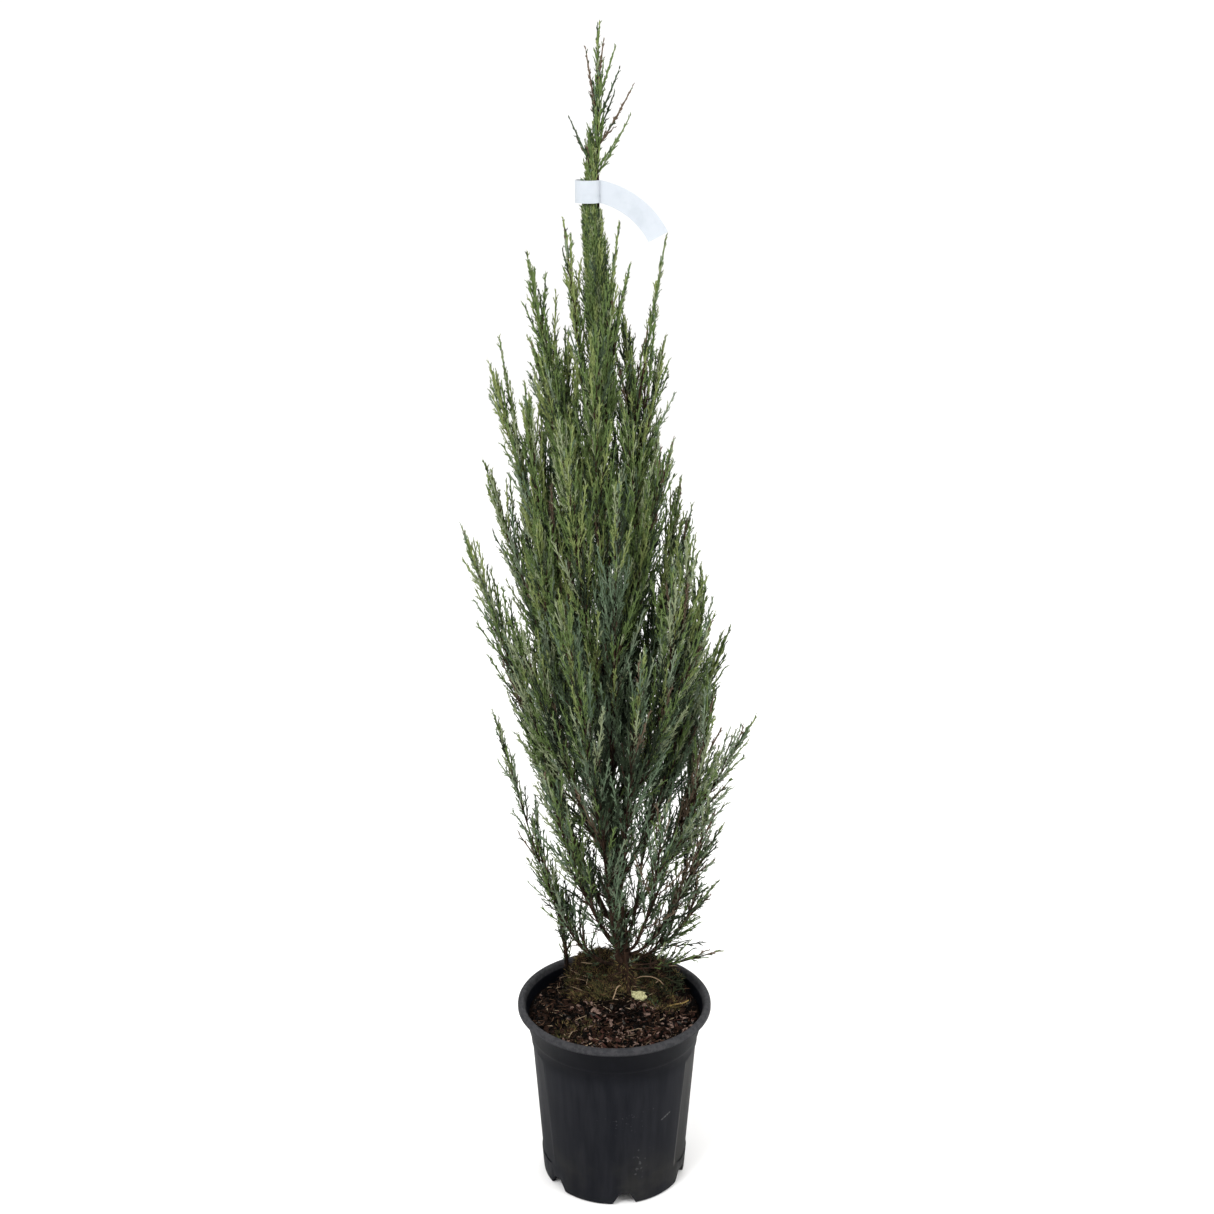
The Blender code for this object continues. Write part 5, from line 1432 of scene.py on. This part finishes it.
def grown():
    """Every twig as (root, way, bend, length, tone)."""
    for number, (name, line) in enumerate(stems.items()):
        rng = np.random.default_rng(SEED * 1000 + number)
        leaning = limb_leaning(rng)
        others = np.concatenate([samples for other, samples in stem_samples.items() if other != name])
        rows = list(twigs_of(line, rng, FULLNESS.get(name, fullness_of(line)), stem_samples[name], others))
        if name in bare_paths:
            spacing, length, lift, start = SPRIGS.get(name, USUAL_SPRIGS)
            rows += sprigs_on(bare_paths[name], spacing, length, (14.0, 44.0), lift, rng, start)
        yield from toned(rows, rng, leaning)
    rng = np.random.default_rng(SEED)
    for number, line in enumerate(side_paths):
        leaning = limb_leaning(rng)
        fullness = fullness_of(line) if number < len(SIDE_STEMS) else THIN_FULLNESS
        yield from toned(twigs_of(line, rng, fullness), rng, leaning)
    leader = stems["leader"]
    core = leader[(leader[:, 2] > CORE_HEIGHTS[0]) & (leader[:, 2] < CORE_HEIGHTS[1])]
    rows = []
    for heights, *habit in TRUNK_SPRIGS:
        rows += sprigs_on(trunk_point(np.linspace(*heights)), *habit, rng)
    rows += sprigs_on(layered_path, 0.0026, (0.010, 0.028), (16.0, 48.0), 0.5, rng, 0.03)
    rows += sprigs_on(core, 0.0030, (0.016, 0.034), (8.0, 20.0), 0.2, rng)
    rows += bundle_of_shoots(rng)
    yield from toned(rows, rng, EVEN_LEANING)


def gathered(rows):
    """The rows as one set of shoots, thicker where they are longer."""
    roots, ways, bends, lengths, tones = (np.array(column) for column in zip(*rows))
    return Shoots(roots, ways, bends, lengths, TWIG_RADIUS + TWIG_THICKENING * lengths, tones)


def together(*groups):
    return Shoots(*map(np.concatenate, zip(*groups)))


twigs = gathered(grown())
whips = gathered([*whips_of_leader(), *whips_of_stems(growth)])
branchlets = together(
    branched(
        twigs, BRANCHLET_SPACING, (0.06, 0.96), BRANCHLET_LEAN,
        lambda share, length: 0.005 + 0.23 * length * (1 - share) ** 0.8, 0.30, BRANCHLET_RADIUS,
    ),
    branched(
        whips, WHIP_SPACING, (0.04, 0.97), WHIP_LEAN,
        lambda share, length: 0.0036 + 0.15 * length * (1 - share) ** 1.5, 0.35, WHIP_RADIUS,
    ),
)
tints, darker, lighter = zip(*TONES.values())
draw = growth.uniform(0, 1, len(branchlets.tone))
tones = np.where(draw > LIGHTER_ABOVE, np.array(lighter)[branchlets.tone], branchlets.tone)
tones = np.where(draw < DARKER_BELOW, np.array(darker)[branchlets.tone], tones)
branchlets = branchlets._replace(tone=tones)
leafy_ends = together(twigs.end_part(0.38, 0.0009), whips.end_part(0.04, 0.0010))
threads = branched(
    branchlets, THREAD_SPACING, (0.10, 0.92), THREAD_LEAN,
    lambda share, length: 0.0038 + 0.32 * length * (1 - share), 0.30, THREAD_RADIUS,
)

# Dead twigs without leaves stick out of the bare boughs and the trunk's foot.
TWIG_SHAPE = ((0.02, 1.0), (0.25, 0.85), (0.5, 0.60))
DEAD_TWIG_SPACING = 0.010
rng = np.random.default_rng(SEED + 1)
dead = []
for path in bare_paths.values():
    dead += sprigs_on(path, DEAD_TWIG_SPACING, (0.015, 0.060), (35.0, 85.0), 0.0, rng)
dead += sprigs_on(trunk_point(np.linspace(0.280, 0.420, 20)), 0.0035, (0.015, 0.070), (40.0, 95.0), 0.0, rng)
wood = together(twigs, gathered([(*row, 0) for row in dead]))
twig_finish = Finish("twig bark", 0.85, 0.08, (0.046, 0.027, 0.019))
wood.piece("twig_bark", TWIG_SHAPE, twig_finish, "bark", *mass_nodes)

# The leaves: every twig's leafy end, the branchlets on it and the threads on those, tone by tone.
MOST_TRIANGLES = 190000
LEAF_KINDS = (
    ("ends", leafy_ends, ((0.03, 0.9), (0.30, 1.1), (0.60, 1.0), (0.88, 0.75))),
    ("sprays", branchlets, ((0.08, 0.95), (0.62, 1.0))),
    ("threads", threads, ((0.45, 1.0),)),
)
for number, tone in enumerate(TONES):
    leaf = Finish(f"{tone} scale leaves", 0.6, 0.15, tints[number])
    for kind, shoots, shape in LEAF_KINDS:
        chosen = shoots.kept(shoots.tone == number)
        count = len(chosen.length)
        parts = max(math.ceil(count * len(shoot_faces(len(shape))) / MOST_TRIANGLES), 1)
        for part, members in enumerate(np.array_split(np.arange(count), parts), 1):
            chosen.kept(members).piece(f"{kind}_{tone}_{part}", shape, leaf, "leaves", *mass_nodes)


# The studio: a pale floor that sweeps up into a pale wall all round, soft light from above and the
# front, and the camera at the photograph's angle.
STUDIO_RADIUS = 6.0
SWEEP_RADIUS = 1.5
flat_radius = STUDIO_RADIUS - SWEEP_RADIUS
sweep = arc((flat_radius, SWEEP_RADIUS), SWEEP_RADIUS, -90, 0, 10)
studio_outline = [(2.0, 0.0), (flat_radius, 0.0), *sweep, (STUDIO_RADIUS, 4.0)]
circle = bpy.ops.mesh.primitive_circle_add
floor = added(circle, vertices=96, radius=studio_outline[0][0], fill_type="NGON", enter_editmode=True)
ring_by_ring(studio_outline)
leave_edit()
floor.name = "studio_floor"
floor.data.shade_smooth()
floor.data.materials.append(Finish("pale studio paper", 0.9, 0.1, (0.90, 0.90, 0.90)).material)

world = bpy.data.worlds.new("soft sky")
world.use_nodes = True
world.node_tree.nodes["Background"].inputs["Color"].default_value = (1.0, 0.99, 0.97, 1.0)
world.node_tree.nodes["Background"].inputs["Strength"].default_value = 1.0
bpy.context.scene.world = world
bpy.context.scene.view_settings.view_transform = "Standard"

# Each soft light: its place, what it is aimed at, its size and its power.
LIGHTS = {
    "key light": ((-1.6, -2.2, 3.4), (0, 0, 0.75), 1.5, 105),
    "fill light": ((2.4, -1.6, 2.2), (0, 0, 0.8), 2.2, 56),
    "back light": ((0.4, 2.8, 2.8), (0, 0, 0.9), 2.0, 30),
}
for name, (place, aim, size, power) in LIGHTS.items():
    lamp = bpy.data.lights.new(name, "AREA")
    lamp.shape = "DISK"
    lamp.size = size
    lamp.energy = power
    softbox = linked(name, lamp)
    softbox.location = place
    softbox.rotation_euler = (Vector(aim) - Vector(place)).to_track_quat("-Z", "Y").to_euler()

CAMERA_PLACE = (-0.0095, -2.112, 1.503)
CAMERA_PITCH = 18.79
CAMERA_LENS = 55
camera = bpy.data.cameras.new("camera")
camera.lens = CAMERA_LENS
camera.sensor_width = 36
camera.clip_end = 50
viewer = linked("camera", camera)
viewer.location = CAMERA_PLACE
viewer.rotation_euler = (math.radians(90 - CAMERA_PITCH), 0, 0)
bpy.context.scene.camera = viewer
